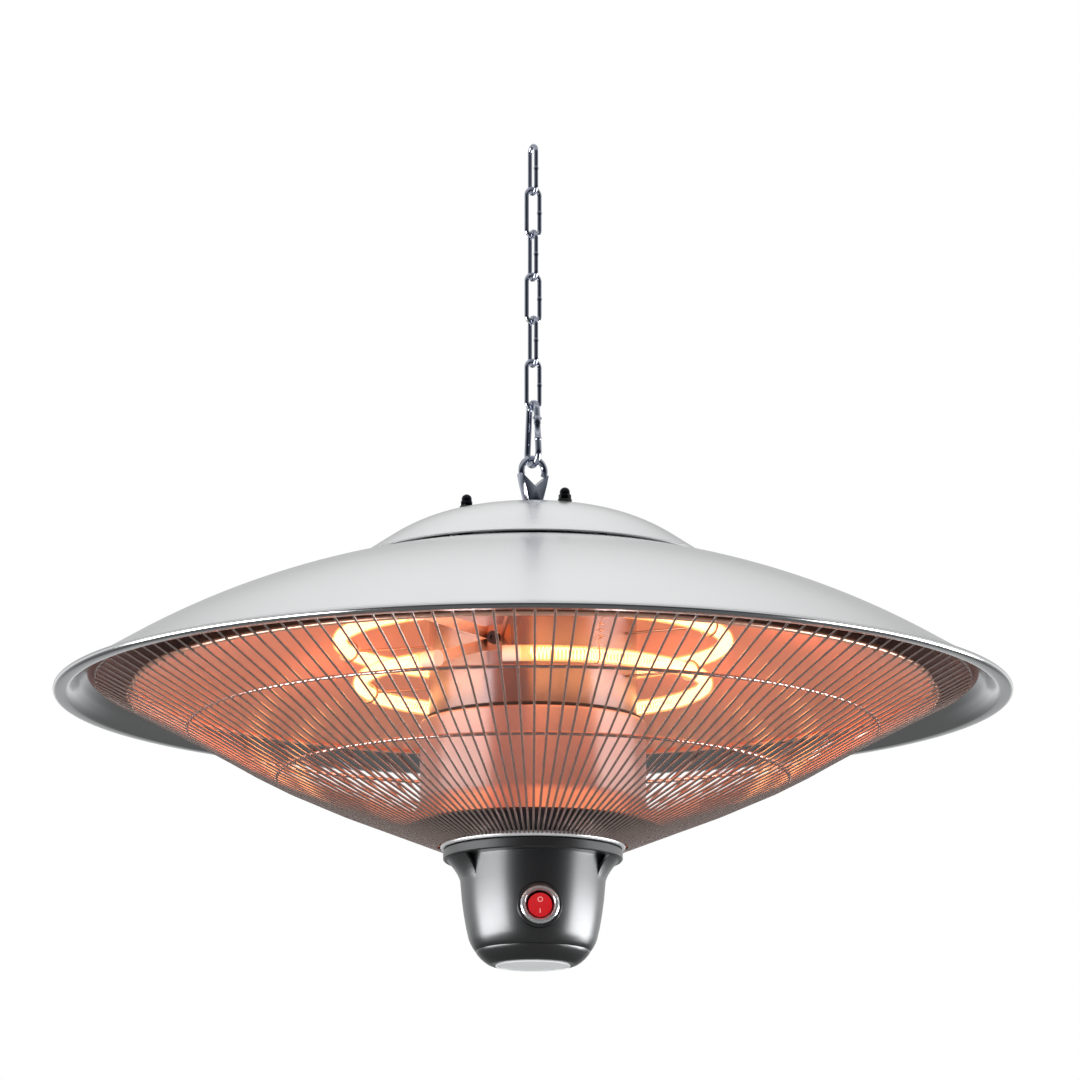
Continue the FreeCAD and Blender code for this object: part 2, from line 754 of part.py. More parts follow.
# Bracket on the column in the rings' gap, with a strap to each end cap
bracket_inner = column_radius + seat_gap
bracket_outer = bracket_inner + strap_thickness
bracket_low = rim + bracket_rise - bracket_height / 2
bracket_high = rim + bracket_rise + bracket_height / 2
bracket = revolved(
    (bracket_inner, bracket_low), (bracket_outer, bracket_low),
    (bracket_outer, bracket_high), (bracket_inner, bracket_high), sweep=2 * bracket_spread,
)
bracket = turned(bracket, gap_middle - bracket_spread)
straps = []
for radius, height, turns in rings.values():
    for sense in (-1, 1):
        cap_middle = math.degrees(end_cap_length / 2 / radius)
        place = polar(radius, gap_middle + sense * (gap_half - cap_middle), height)
        shift = strap_width / 2 if height > rim + bracket_rise else -strap_width / 2
        base_height = rim + bracket_rise + shift
        base_radius = bracket_inner + strap_thickness / 2
        base = polar(base_radius, gap_middle + sense * bracket_spread / 2, base_height)
        reach = (place - base).normalize()
        straps.append(strap(base, place - reach * (tube_radius + support_fit), strap_width, strap_thickness))
column_core = Part.makeCylinder(bracket_inner, bracket_height * 8, Vector(0, 0, rim - bracket_height * 4))
screw_base = polar(bracket_outer, gap_middle, rim + bracket_rise)
screw_out = polar(1, gap_middle, 0)
bracket_hole = rod(screw_base - screw_out * screw_depth, screw_base + screw_out, screw_radius + thread_fit)
bracket_screw_seat = rod(screw_base, screw_base + screw_out * screw_depth, screw_head_radius + support_fit)
bracket = bracket.fuse([bar.cut(bracket_screw_seat) for bar in straps]).cut(column_core).cut(bracket_hole)
save("tube_bracket", bracket.removeSplitter())
bracket_screw = rod(screw_base - screw_out * (strap_thickness + seat_gap), screw_base, screw_radius)
head_top = screw_base + screw_out * screw_head_height
bracket_screw = bracket_screw.fuse(rod(screw_base, head_top, screw_head_radius))
socket = rod(screw_base + screw_out * (screw_head_height / 2), head_top, screw_radius)
save("bracket_screw", bracket_screw.cut(socket))

# Guard: straight wires on three hoops and a foot collar
guard_top = Vector(dish_radius - guard_inset, 0, rim + guard_top_rise)
guard_foot = Vector(guard_foot_radius, 0, rim - guard_foot_drop)
guard_points = [guard_top]
for inward, downward in (guard_upper_share, guard_lower_share):
    run = guard_foot - guard_top
    guard_points.append(guard_top + Vector(run.x * inward, 0, run.z * downward))
guard_points.append(guard_foot)


# Direction of the guard's wire at one of its points, halfway between the runs that meet there
def guard_heading(number):
    runs = []
    if number > 0:
        runs.append((guard_points[number] - guard_points[number - 1]).normalize())
    if number < len(guard_points) - 1:
        runs.append((guard_points[number + 1] - guard_points[number]).normalize())
    total = Vector(0, 0, 0)
    for run in runs:
        total = total + run
    return total.normalize()


def guard_section(number):
    heading = guard_heading(number)
    across = Vector(0, 1, 0)
    tall = heading.cross(across)
    corners = []
    for n in range(7):
        turn = math.radians(60 * n)
        corners.append(guard_points[number] + (across * math.cos(turn) + tall * math.sin(turn)) * guard_wire)
    return Part.makePolygon(corners)


sections = [guard_section(number) for number in range(len(guard_points))]
guard_bar = Part.makeLoft(sections, True, True)
save("guard_wires", spread(guard_bar, guard_wire_count))


def hoop_place(number):
    heading = guard_heading(number)
    inward = Vector(heading.z, 0, -heading.x)
    if inward.z < 0:
        inward = inward * -1
    return guard_points[number] + inward * (guard_wire + weld_gap + guard_hoop)


for number, name in enumerate(("guard_top_hoop", "guard_upper_hoop", "guard_lower_hoop")):
    place = hoop_place(number)
    save(name, Part.makeTorus(place.x, guard_hoop, Vector(0, 0, place.z)))
collar_top = pan_floor
collar_bottom = collar_top - collar_height
collar = washer(collar_radius - collar_wall, collar_radius, collar_bottom, collar_top)
save("guard_collar", collar)

# Clips hold the top hoop to the inside of the dish's skirt, each between two wires
wire_spacing = 360.0 / guard_wire_count
clip_angle = wire_spacing - 2 * math.degrees((guard_wire + clip_room) / guard_top.x)
hoop = hoop_place(0)
hoop_clear = guard_hoop + wire_gap
clip_top = skirt_point(hoop.x + clip_outer_reach, dish_sheet + seat_gap)
clip_turn = skirt_point(hoop.x + hoop_clear, dish_sheet + seat_gap)
clip_low = hoop.z - hoop_clear
clip = revolved(
    clip_top,
    clip_turn,
    (hoop.x + hoop_clear, clip_low),
    (hoop.x - clip_inner_reach, clip_low),
    (hoop.x - clip_inner_reach, clip_low - clip_sheet),
    (hoop.x + hoop_clear + clip_sheet, clip_low - clip_sheet),
    skirt_point(hoop.x + hoop_clear + clip_sheet, dish_sheet + seat_gap + clip_sheet),
    skirt_point(hoop.x + clip_outer_reach, dish_sheet + seat_gap + clip_sheet),
    sweep=clip_angle,
)
clip_wire = round(clip_first / wire_spacing)
clip_start = (clip_wire + 0.5) * wire_spacing - clip_angle / 2
save("guard_clips", spread(clip, clip_count, clip_start))

# Switch housing: flange, cup and two flared wings in one moulding
flange_top = collar_bottom
flange_bottom = flange_top - flange_height
spigot_radius = collar_radius - collar_wall - spigot_gap
flange_bore = rod_circle + rod_nut_flats / math.sqrt(3) + flange_nut_room


def drop(depth):
    return rim - depth


flange = revolved(
    (flange_bore, flange_bottom),
    (flange_radius, flange_bottom),
    (flange_radius, flange_top),
    (spigot_radius, flange_top),
    (spigot_radius, pan_floor),
    (flange_bore, pan_floor),
)
waist = (cup_waist_radius, drop(cup_waist_drop))
shoulder = (cup_shoulder_radius, drop(cup_shoulder_drop))
seam = (seam_radius, drop(seam_drop))
shoulder_crest = ((shoulder[0] + seam[0]) / 2 + seam_bulge, (shoulder[1] + seam[1]) / 2 - seam_bulge / 2)
cup = revolved(
    (cup_top_radius, flange_bottom + ledge_height),
    waist,
    shoulder,
    (shoulder_crest, seam),
    (seam[0] - cup_wall, seam[1]),
    ((shoulder_crest[0] - cup_wall, shoulder_crest[1]), (shoulder[0] - cup_wall, shoulder[1])),
    (waist[0] - cup_wall, waist[1]),
    (cup_top_radius - cup_wall, flange_bottom + ledge_height),
)


# Radius of the cup's outside at a height above its waist
def cup_radius(height):
    share = (height - waist[1]) / (flange_bottom + ledge_height - waist[1])
    return cup_waist_radius + (cup_top_radius - cup_waist_radius) * share


ledge_top = drop(ledge_drop)
ledge_outer = cup_radius(ledge_top) - cup_wall / 2
ledge = washer(ledge_outer - cup_wall / 2 - ledge_width, ledge_outer, ledge_top - ledge_height, ledge_top)
wing_low = (cup_radius(drop(wing_bottom_drop)) - wing_wall / 2, drop(wing_bottom_drop))
wing_high = (flange_radius - wing_wall / 2, flange_bottom + ledge_height)
wing_crest = (wing_low[0] + (wing_high[0] - wing_low[0]) * wing_hollow, (wing_low[1] + wing_high[1]) / 2)
wing = revolved(
    (wing_low[0] + wing_wall / 2, wing_low[1]),
    ((wing_crest[0] + wing_wall / 2, wing_crest[1]), (wing_high[0] + wing_wall / 2, wing_high[1])),
    (wing_high[0] - wing_wall, wing_high[1]),
    ((wing_crest[0] - wing_wall / 2, wing_crest[1]), (wing_low[0] - wing_wall / 2, wing_low[1])),
    sweep=wing_to - wing_from,
)
wings = [turned(wing, front + wing_from) for front in (-90, 90)]
switch_height = drop(switch_drop)
front_cup = cup_waist_radius - (cup_waist_radius - cup_shoulder_radius) * (
    (switch_drop - cup_waist_drop) / (cup_shoulder_drop - cup_waist_drop)
)
boss_face = -front_cup - boss_proud
boss_back = boss_face + boss_proud + cup_wall * 2
boss = rod(Vector(0, boss_back, switch_height), Vector(0, boss_face, switch_height), boss_radius)
switch_back = boss_face + switch_depth
switch_end = Vector(0, switch_back, switch_height)
switch_clear = Vector(0, boss_face - boss_proud, switch_height)
barrel_hole = rod(switch_end, switch_clear, switch_barrel + seat_gap)
recess = rod(
    Vector(0, boss_face, switch_height), Vector(0, boss_face - boss_radius, switch_height), boss_radius
)
housing_screw_bottom = pan_floor_top - housing_screw_length
housing_bore = rod(
    Vector(housing_screw_circle, 0, housing_screw_bottom),
    Vector(housing_screw_circle, 0, pan_floor_top), screw_radius + thread_fit,
)
housing_bores = spread(housing_bore, housing_screw_count, housing_screw_first)
housing = cup.fuse([flange, ledge, boss] + wings).cut([barrel_hole, recess]).cut(housing_bores)
save("switch_housing", housing.removeSplitter())
save("base_pan", pan.cut([rod_bores, housing_bores]))
housing_screw = rod(
    Vector(housing_screw_circle, 0, housing_screw_bottom),
    Vector(housing_screw_circle, 0, pan_floor_top), screw_radius,
)
housing_head = rod(
    Vector(housing_screw_circle, 0, pan_floor_top),
    Vector(housing_screw_circle, 0, pan_floor_top + screw_head_height), screw_head_radius,
)
save("housing_screws", spread(housing_screw.fuse(housing_head), housing_screw_count, housing_screw_first))

# Lower cover with the round lens, and the receiver board behind it
cover_bottom = drop(cover_bottom_drop)
lens_seat = lens_radius + lens_fit
cover_crest = (
    (seam[0] + cover_bottom_radius) / 2 + seam_bulge,
    (seam[1] + cover_bottom) / 2 - seam_bulge,
)
cover = revolved(
    seam,
    (cover_crest, (cover_bottom_radius, cover_bottom)),
    (lens_seat, cover_bottom),
    (lens_seat, cover_bottom + lens_rim),
    (lens_seat - cover_wall, cover_bottom + lens_rim),
    (lens_seat - cover_wall, cover_bottom + lens_rim + cover_wall),
    (seam[0] - cup_wall, seam[1]),
)
save("lower_cover", cover)
lens = revolved(
    (0, cover_bottom - lens_crown),
    ((lens_radius / 2, cover_bottom - lens_crown * 0.75), (lens_radius, cover_bottom)),
    (lens_radius, cover_bottom + lens_rim - seat_gap),
    (0, cover_bottom + lens_rim - seat_gap),
)
save("lamp_lens", lens)
receiver_low = cover_bottom + lens_rim - seat_gap
save("receiver_board", Part.makeCylinder(receiver_radius, board_thickness, Vector(0, 0, receiver_low)))

# Control board on the housing's inner ledge, with its relay
board_radius = ledge_outer - cup_wall / 2 - wire_gap
board = Part.makeCylinder(board_radius, board_thickness, Vector(0, 0, ledge_top))
save("control_board", board)
relay_base = Vector(-relay_size[0] / 2, -relay_size[1] / 2, ledge_top + board_thickness)
save("control_relay", Part.makeBox(*relay_size, relay_base))

# Switch barrel, bezel and rocker, facing the front
pivot = Vector(0, boss_face + pivot_setback, switch_height)
barrel = rod(switch_end, Vector(0, boss_face, switch_height), switch_barrel)
cavity = rod(Vector(0, switch_back - switch_floor, switch_height), switch_clear, switch_bore)
pivot_span = Vector(switch_barrel - pivot_fit, 0, 0)
pivot_hole = rod(pivot - pivot_span, pivot + pivot_span, pivot_radius + pivot_fit)
save("switch_barrel", barrel.cut(cavity).cut(pivot_hole))
bezel_front = boss_face - bezel_height
bezel = rod(Vector(0, boss_face, switch_height), Vector(0, bezel_front, switch_height), bezel_radius)
bezel_hole = Part.makeCone(
    bezel_bore, bezel_bore + bezel_height / 2, bezel_height,
    Vector(0, boss_face, switch_height), Vector(0, -1, 0),
)
save("switch_bezel", bezel.cut(bezel_hole))
rocker_front = bezel_front - rocker_proud
rocker_back = Vector(0, rocker_front + rocker_depth, switch_height)
rocker = rod(rocker_back, Vector(0, rocker_front, switch_height), rocker_radius)
half_throw = math.tan(math.radians(rocker_throw / 2))
dish_depth = rocker_radius * half_throw
hollow = Part.Face(Part.makePolygon([
    Vector(-rocker_radius * 2, rocker_front - dish_depth, switch_height + rocker_radius * 2),
    Vector(-rocker_radius * 2, rocker_front, switch_height + rocker_radius),
    Vector(-rocker_radius * 2, rocker_front + dish_depth, switch_height),
    Vector(-rocker_radius * 2, rocker_front, switch_height - rocker_radius),
    Vector(-rocker_radius * 2, rocker_front - dish_depth, switch_height - rocker_radius * 2),
    Vector(-rocker_radius * 2, rocker_front - dish_depth, switch_height + rocker_radius * 2),
])).extrude(Vector(rocker_radius * 4, 0, 0))
pins = rod(pivot - pivot_span, pivot + pivot_span, pivot_radius)
rocker = rocker.cut(hollow).fuse(pins)
rocker.rotate(pivot, Vector(1, 0, 0), rocker_throw / 2)
save("rocker", rocker)

print("rim plane %.3f mm, hook bowl %.3f mm" % (rim, hook_bottom))
print("hinge heights %.3f to %.3f" % (first_hinge, last_hinge))
print("pin point %.3f %.3f, pivot %.3f %.3f" % (pin_point.x, pin_point.z, pivot.y, pivot.z))
print("grommet %.3f %.3f slope %.3f" % (grommet_point.x, grommet_point.z, math.degrees(grommet_slope)))
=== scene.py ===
import math

import bmesh
import bpy
from mathutils import Matrix, Vector


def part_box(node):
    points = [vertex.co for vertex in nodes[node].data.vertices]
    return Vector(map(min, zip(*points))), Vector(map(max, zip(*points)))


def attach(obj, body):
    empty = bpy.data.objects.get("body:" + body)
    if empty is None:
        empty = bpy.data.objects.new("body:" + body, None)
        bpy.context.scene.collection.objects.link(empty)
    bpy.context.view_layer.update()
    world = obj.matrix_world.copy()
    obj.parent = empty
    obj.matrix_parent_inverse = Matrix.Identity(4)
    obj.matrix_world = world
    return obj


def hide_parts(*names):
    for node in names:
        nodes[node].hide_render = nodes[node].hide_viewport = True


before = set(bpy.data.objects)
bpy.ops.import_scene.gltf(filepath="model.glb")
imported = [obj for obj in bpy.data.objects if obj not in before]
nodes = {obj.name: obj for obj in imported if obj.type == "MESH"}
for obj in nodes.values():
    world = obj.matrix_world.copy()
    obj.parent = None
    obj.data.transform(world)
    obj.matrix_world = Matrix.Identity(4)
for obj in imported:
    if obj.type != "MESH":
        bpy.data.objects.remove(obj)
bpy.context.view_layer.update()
print("frame loaded with", len(nodes), "solids")


def linear(hexCode):
    channels = [int(hexCode[n:n + 2], 16) / 255 for n in (1, 3, 5)]
    return tuple(c / 12.92 if c <= 0.04045 else ((c + 0.055) / 1.055) ** 2.4 for c in channels) + (1.0,)


# one node with its settings, its socket values and its incoming links
def addNode(material, kind, inputs, **settings):
    node = material.node_tree.nodes.new(kind)
    for name, value in settings.items():
        setattr(node, name, value)
    for name, value in inputs.items():
        if isinstance(value, bpy.types.NodeSocket):
            material.node_tree.links.new(value, node.inputs[name])
        else:
            node.inputs[name].default_value = value
    return node


def startMaterial(name, sockets):
    material = bpy.data.materials.new(name)
    material.use_nodes = True
    shader = material.node_tree.nodes["Principled BSDF"]
    for socket, value in sockets.items():
        shader.inputs[socket].default_value = value
    return material, shader


def plug(material, output, shader, socket):
    material.node_tree.links.new(output, shader.inputs[socket])


# where a point lies on the piece, in metres
def objectPlace(material):
    return addNode(material, "ShaderNodeTexCoord", {}).outputs["Object"]


def noise(material, vector, scale, detail=2.0):
    sockets = {"Vector": vector, "Scale": scale, "Detail": detail}
    return addNode(material, "ShaderNodeTexNoise", sockets).outputs["Fac"]


def blend(material, factor, first, second):
    sockets = {"Factor": factor, "A": first, "B": second}
    return addNode(material, "ShaderNodeMix", sockets, data_type="RGBA").outputs["Result"]


# two tints mixed by one pattern, and a fine relief from another
def finishSurface(material, shader, tint, colours, relief, strength, depth):
    colour = blend(material, tint, linear(colours[0]), linear(colours[1]))
    bump = addNode(material, "ShaderNodeBump", {"Height": relief, "Strength": strength, "Distance": depth})
    plug(material, colour, shader, "Base Color")
    plug(material, bump.outputs["Normal"], shader, "Normal")
    return material


# spun aluminium under silver lacquer: soft wide highlights, faint flake of about 1 mm in the lacquer
def makeSilverLacquer():
    material, shader = startMaterial("silverLacquer", {
        "Metallic": 0.88, "Roughness": 0.25, "Coat Weight": 0.2, "Coat Roughness": 0.15,
    })
    where = objectPlace(material)
    flake = noise(material, where, scale=900.0)
    cloud = noise(material, where, scale=9.0, detail=3.0)
    return finishSurface(material, shader, cloud, ("#dfe0e1", "#e8e9ea"), flake, strength=0.03, depth=0.0002)


# polished aluminium sheet: near-mirror, with fine lines of about 1 mm round the axis; a warm pink tint, where
# given, is painted glow from the rings
def makePolishedAluminium(name, colours, roughness, lineStrength, metallic, drawn=0.0):
    material, shader = startMaterial(name, {
        "Metallic": metallic, "Roughness": roughness, "Anisotropic": drawn, "Anisotropic Rotation": 0.25,
    })
    if drawn:  # drawn lines pull each reflection out upwards and downwards
        around = addNode(material, "ShaderNodeTangent", {}, direction_type="RADIAL", axis="Z")
        plug(material, around.outputs["Tangent"], shader, "Tangent")
    where = objectPlace(material)
    stretch = addNode(material, "ShaderNodeMapping", {"Vector": where, "Scale": (30.0, 30.0, 900.0)})
    lines = noise(material, stretch.outputs["Vector"], scale=1.0, detail=3.0)
    tint = noise(material, where, scale=12.0)
    return finishSurface(material, shader, tint, colours, lines, lineStrength, depth=0.0003)


# chromed or nickelled steel: mirror-bright, with a slight ripple of about 4 mm in the plating
def makeChrome(name, colours, roughness, metallic=1.0):
    material, shader = startMaterial(name, {"Metallic": metallic, "Roughness": roughness})
    ripple = noise(material, objectPlace(material), scale=260.0)
    return finishSurface(material, shader, ripple, colours, ripple, strength=0.06, depth=0.0004)


# plastic, rubber, enamel, metallic lacquer or plain plating: a fine grain, given in mm, breaks the highlight
def makeGrained(name, colours, roughness, grain, metallic=0.0, bumpStrength=0.15, specular=0.5):
    material, shader = startMaterial(name, {
        "Metallic": metallic, "Roughness": roughness, "Specular IOR Level": specular,
    })
    pores = noise(material, objectPlace(material), scale=1000.0 / grain)
    return finishSurface(material, shader, pores, colours, pores, bumpStrength, depth=grain * 0.0002)


# fused quartz: thin clear wall whose orange emission is painted glow, the coil's light spread through the glass
def makeQuartz():
    return startMaterial("fusedQuartz", {
        "Base Color": linear("#ffe3b0"), "Roughness": 0.06, "Alpha": 0.3, "IOR": 1.46,
        "Emission Color": linear("#f78f38"), "Emission Strength": 1.1,
    })[0]


# resistance wire at about 1000 degrees: yellow-white, in places a little more orange
def makeGlow():
    material, shader = startMaterial("glowingCoil", {
        "Base Color": linear("#6b3a18"), "Roughness": 0.5, "Emission Strength": 4.6,
    })
    heat = noise(material, objectPlace(material), scale=25.0)
    plug(material, blend(material, heat, linear("#ffb470"), linear("#ffc88e")), shader, "Emission Color")
    return material


finishes = {
    "silver": makeSilverLacquer(),
    # reflector, column and drum: their warm pink tints are painted glow from the rings on what is bare
    # aluminium
    "reflector": makePolishedAluminium(
        "reflectorPaintedGlow", ("#eabea8", "#e0ac94"), roughness=0.28, lineStrength=0.05, metallic=0.7),
    "column": makePolishedAluminium(
        "columnPaintedGlow", ("#b8b0b4", "#aca2a6"), roughness=0.25, lineStrength=0.03, metallic=0.97, drawn=0.9),
    "drum": makePolishedAluminium(
        "drumPaintedGlow", ("#dcc8c4", "#d4bab4"), roughness=0.28, lineStrength=0.03, metallic=0.87, drawn=0.9),
    "brim": makePolishedAluminium(
        "polishedBrim", ("#d6d7d8", "#e0e1e2"), roughness=0.16, lineStrength=0.02, metallic=1.0),
    "chrome": makeChrome("chromedWire", ("#a2a7b6", "#b0b5c2"), roughness=0.09),
    # guard wire: its pink tint is a painted reflection of the rings' glow
    "guard": makeChrome("guardWire", ("#dac0b8", "#e8d2ca"), roughness=0.2, metallic=0.95),
    "bezel": makeChrome("bezelChrome", ("#e4e6e8", "#f2f3f4"), roughness=0.2, metallic=0.85),
    "nickel": makeChrome("blackNickel", ("#1c1d20", "#2c2d31"), roughness=0.18),
    "satin": makeGrained(
        "satinChrome", ("#e4e6e8", "#f2f3f4"), roughness=0.26, grain=0.6, metallic=0.6, bumpStrength=0.05),
    "rubber": makeGrained("blackRubber", ("#161616", "#202020"), roughness=0.7, grain=0.6),
    "zinc": makeGrained("zincPlatedSteel", ("#9a9c9e", "#b4b6b8"), roughness=0.38, grain=1.2, metallic=1.0),
    "tinted": makeGrained("heatTintedSteel", ("#c79a82", "#dcb6a0"), roughness=0.36, grain=1.5, metallic=1.0),
    "enamel": makeGrained("blackEnamel", ("#211c20", "#2b2529"), roughness=0.45, grain=0.8),
    "charcoal": makeGrained(
        "charcoalLacquer", ("#606162", "#6d6e6f"), roughness=0.33, grain=0.55, metallic=0.96),
    "lens": makeGrained("frostedLens", ("#bcbec0", "#c8cacc"), roughness=0.3, grain=0.9, bumpStrength=0.05),
    # pale plastic for the lens ring: a painted highlight on the lens's rim
    "pale": makeGrained("paintedHighlightPlastic", ("#dcdedf", "#e8e9ea"), roughness=0.35, grain=0.6, bumpStrength=0.05),
    # dark brown painted shade, warmed by the rings' glow, for the dish's inside behind the guard
    "paintedShade": makeGrained("paintedShadeBrown", ("#745854", "#866862"), roughness=0.55, grain=0.8),
    "steatite": makeGrained("steatite", ("#cfc4b4", "#ded4c6"), roughness=0.6, grain=0.7),
    "board": makeGrained("circuitBoard", ("#1d4a2c", "#265a36"), roughness=0.5, grain=1.0),
    "red": makeGrained(
        "redPlastic", ("#b80412", "#c40616"), roughness=0.28, grain=0.8, bumpStrength=0.04, specular=0.35),
    "print": makeGrained("palePrint", ("#f09a9c", "#f4a8a8"), roughness=0.5, grain=0.5, bumpStrength=0.02),
    "quartz": makeQuartz(),
    "glow": makeGlow(),
}
print("finishes made:", len(finishes))


def dress(piece, finish):
    piece.data.materials.clear()
    piece.data.materials.append(finishes[finish])


# every new piece: rides, stands for its solids and takes a finish
def settle(piece, body, slot, finish, *solids):
    dress(piece, finish)
    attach(piece, body)
    if solids:
        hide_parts(*solids)
    return piece


def deselect():
    if bpy.context.object and bpy.context.object.mode == "EDIT":
        bpy.ops.object.mode_set(mode="OBJECT")
    bpy.ops.object.select_all(action="DESELECT")


def activate(piece):
    deselect()
    piece.select_set(True)
    bpy.context.view_layer.objects.active = piece


def smooth(piece, angle=35):
    activate(piece)
    bpy.ops.object.shade_smooth_by_angle(angle=math.radians(angle))


def applyPlace(piece):
    activate(piece)
    bpy.ops.object.transform_apply(location=True, rotation=True, scale=True)


# turned about the upright axis, in degrees
def turnPiece(piece, angle):
    piece.rotation_euler = (0, 0, math.radians(angle))
    applyPlace(piece)


def joinPieces(name, pieces):
    activate(pieces[0])
    for piece in pieces:
        piece.select_set(True)
    bpy.ops.object.join()
    pieces[0].name = name
    return pieces[0]


def cutAway(piece, cutter, useSelf=False):
    cut = piece.modifiers.new("cut", "BOOLEAN")
    cut.operation = "DIFFERENCE"
    cut.solver = "EXACT"
    cut.use_self = useSelf
    cut.object = cutter
    activate(piece)
    bpy.ops.object.modifier_apply(modifier="cut")
    bpy.data.objects.remove(cutter)


# edges that turn by more than the angle are rounded, width in mm
def roundEdges(piece, width, segments, angle=30):
    rounded = piece.modifiers.new("rounded", "BEVEL")
    rounded.width = width / 1000
    rounded.segments = segments
    rounded.angle_limit = math.radians(angle)
    activate(piece)
    bpy.ops.object.modifier_apply(modifier="rounded")


# select by place in edit mode, in mm
def pick(piece, test):
    mesh = bmesh.from_edit_mesh(piece.data)
    for vert in mesh.verts:
        vert.select = bool(test(vert.co * 1000))
    mesh.select_flush_mode()
    bmesh.update_edit_mesh(piece.data)


# in edit mode: doubles are merged, faces turned outwards, and the mode is left; within is in metres
def closeMesh(within=1e-6):
    bpy.ops.mesh.select_all(action="SELECT")
    bpy.ops.mesh.remove_doubles(threshold=within)
    bpy.ops.mesh.normals_make_consistent(inside=False)
    bpy.ops.object.mode_set(mode="OBJECT")


# the piece is repeated evenly round the upright axis
def copyRound(piece, count):
    activate(piece)
    bpy.ops.object.mode_set(mode="EDIT")
    bpy.ops.mesh.select_all(action="SELECT")
    bpy.ops.mesh.spin(steps=count, dupli=True, angle=2 * math.pi, center=(0, 0, 0), axis=(0, 0, 1))
    closeMesh()


# points along an arc in the outline plane: centre, radius, angles from the X axis
def arc(centre, radius, start, end, count):
    points = []
    for n in range(count + 1):
        turn = math.radians(start + (end - start) * n / count)
        points.append((centre[0] + radius * math.cos(turn), centre[1] + radius * math.sin(turn)))
    return points


# an outline moved along by a height, mm
def lifted(outline, height):
    return [(radius, height + rise) for radius, rise in outline]


# an arc's points stood up in the XZ plane
def upright(points):
    return [Vector((x, 0, z)) for x, z in points]


# an outline drawn point by point, then spun round the axis; outline in mm as (radius, height)
def spin(name, outline, steps=128, sweep=360.0, first=0.0, about=None, smoothAngle=35):
    deselect()
    bpy.ops.mesh.primitive_plane_add(size=0.001)
    piece = bpy.context.object
    piece.name = name
    bpy.ops.object.mode_set(mode="EDIT")
    bpy.ops.mesh.select_mode(type="VERT")
    bpy.ops.mesh.select_all(action="SELECT")
    bpy.ops.mesh.merge(type="CENTER")
    if about is None:
        centre, axis = Vector((0, 0, 0)), Vector((0, 0, 1))
        line = [Vector((r, 0, z)) / 1000 for r, z in outline]
    else:
        centre, axis = Vector((0, 0, about)) / 1000, Vector((0, 1, 0))
        line = [Vector((r, y, about)) / 1000 for r, y in outline]
    bpy.ops.transform.translate(value=line[0])
    for last, here in zip(line, line[1:] + line[:1]):
        bpy.ops.mesh.extrude_vertices_move(TRANSFORM_OT_translate={"value": here - last})
    bpy.ops.mesh.select_all(action="SELECT")
    bpy.ops.mesh.remove_doubles(threshold=1e-7)
    bpy.ops.mesh.select_all(action="SELECT")
    if sweep < 360:
        bpy.ops.mesh.edge_face_add()
        bpy.ops.mesh.select_all(action="SELECT")
    bpy.ops.mesh.spin(steps=steps, angle=-math.radians(sweep), center=centre, axis=axis)  # minus: anticlockwise
    closeMesh()
    if first:
        turnPiece(piece, first)
    smooth(piece, smoothAngle)
    return piece


# a round wire along points in mm, made as a bevelled curve and turned to mesh
def wire(name, points, radius, sides, kind="POLY", resolution=6):
    curve = bpy.data.curves.new(name, "CURVE")
    curve.dimensions = "3D"
    curve.bevel_depth = radius / 1000
    curve.bevel_resolution = sides
    curve.use_fill_caps = True
    curve.resolution_u = resolution
    spline = curve.splines.new(kind)
    if kind == "BEZIER":
        spline.bezier_points.add(len(points) - 1)
        for knot, point in zip(spline.bezier_points, points):
            knot.co = Vector(point) / 1000
            knot.handle_left_type = knot.handle_right_type = "AUTO"
    else:
        spline.points.add(len(points) - 1)
        for knot, point in zip(spline.points, points):
            knot.co = (Vector(point) / 1000).to_4d()
    piece = bpy.data.objects.new(name, curve)
    bpy.context.scene.collection.objects.link(piece)
    activate(piece)
    bpy.ops.object.convert(target="MESH")
    piece = bpy.context.object
    smooth(piece, 60)
    return piece


# chain: an oval link is a torus pulled apart at its middle, with a weld bead on one leg
chain = {
    "wire": 1.4, "bend": 4.5, "turn": 20.0, "count": 6, "segments": 32, "sides": 14,
    "weld": 1.22, "weldEnd": 1.1, "legStart": 1.6,
}


def makeLink(number):
    low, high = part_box("chain_link_%d" % number)
    middle = (low.z + high.z) * 500
    pull = (high.z - low.z) * 500 - chain["bend"] - chain["wire"]
    deselect()
    bpy.ops.mesh.primitive_torus_add(
        major_radius=chain["bend"] / 1000, minor_radius=chain["wire"] / 1000,
        major_segments=chain["segments"], minor_segments=chain["sides"],
    )
    link = bpy.context.object
    link.name = "link%d" % number
    turnPiece(link, 180 / chain["segments"])
    link.rotation_euler = (math.radians(90), 0, 0)
    applyPlace(link)
    bpy.ops.object.mode_set(mode="EDIT")
    bpy.ops.mesh.select_mode(type="VERT")
    for sense in (1, -1):
        pick(link, lambda co: co.z * sense > 0)
        bpy.ops.transform.translate(value=(0, 0, sense * pull / 1000))
    # the cuts beside the bead and at the bends keep the legs straight in the light
    half = (chain["weldEnd"], chain["legStart"], pull)
    for height in [-h for h in reversed(half)] + [0, *half]:
        bpy.ops.mesh.select_all(action="SELECT")
        bpy.ops.mesh.bisect(plane_co=(0, 0, height / 1000), plane_no=(0, 0, 1))
    pick(link, lambda co: abs(co.z) < 0.01 and co.x > 0)
    bpy.ops.transform.resize(
        value=(chain["weld"], chain["weld"], 1), center_override=(chain["bend"] / 1000, 0, 0),
    )
    bpy.ops.object.mode_set(mode="OBJECT")
    link.location = (0, 0, middle / 1000)
    turnPiece(link, chain["turn"] if number % 2 == 0 else chain["turn"] - 90)
    smooth(link, 60)
    return settle(link, "chain_link_%d" % number, "chain_chrome", "chrome", "chain_link_%d" % number)


for number in range(1, chain["count"] + 1):
    makeLink(number)
print("chain made")

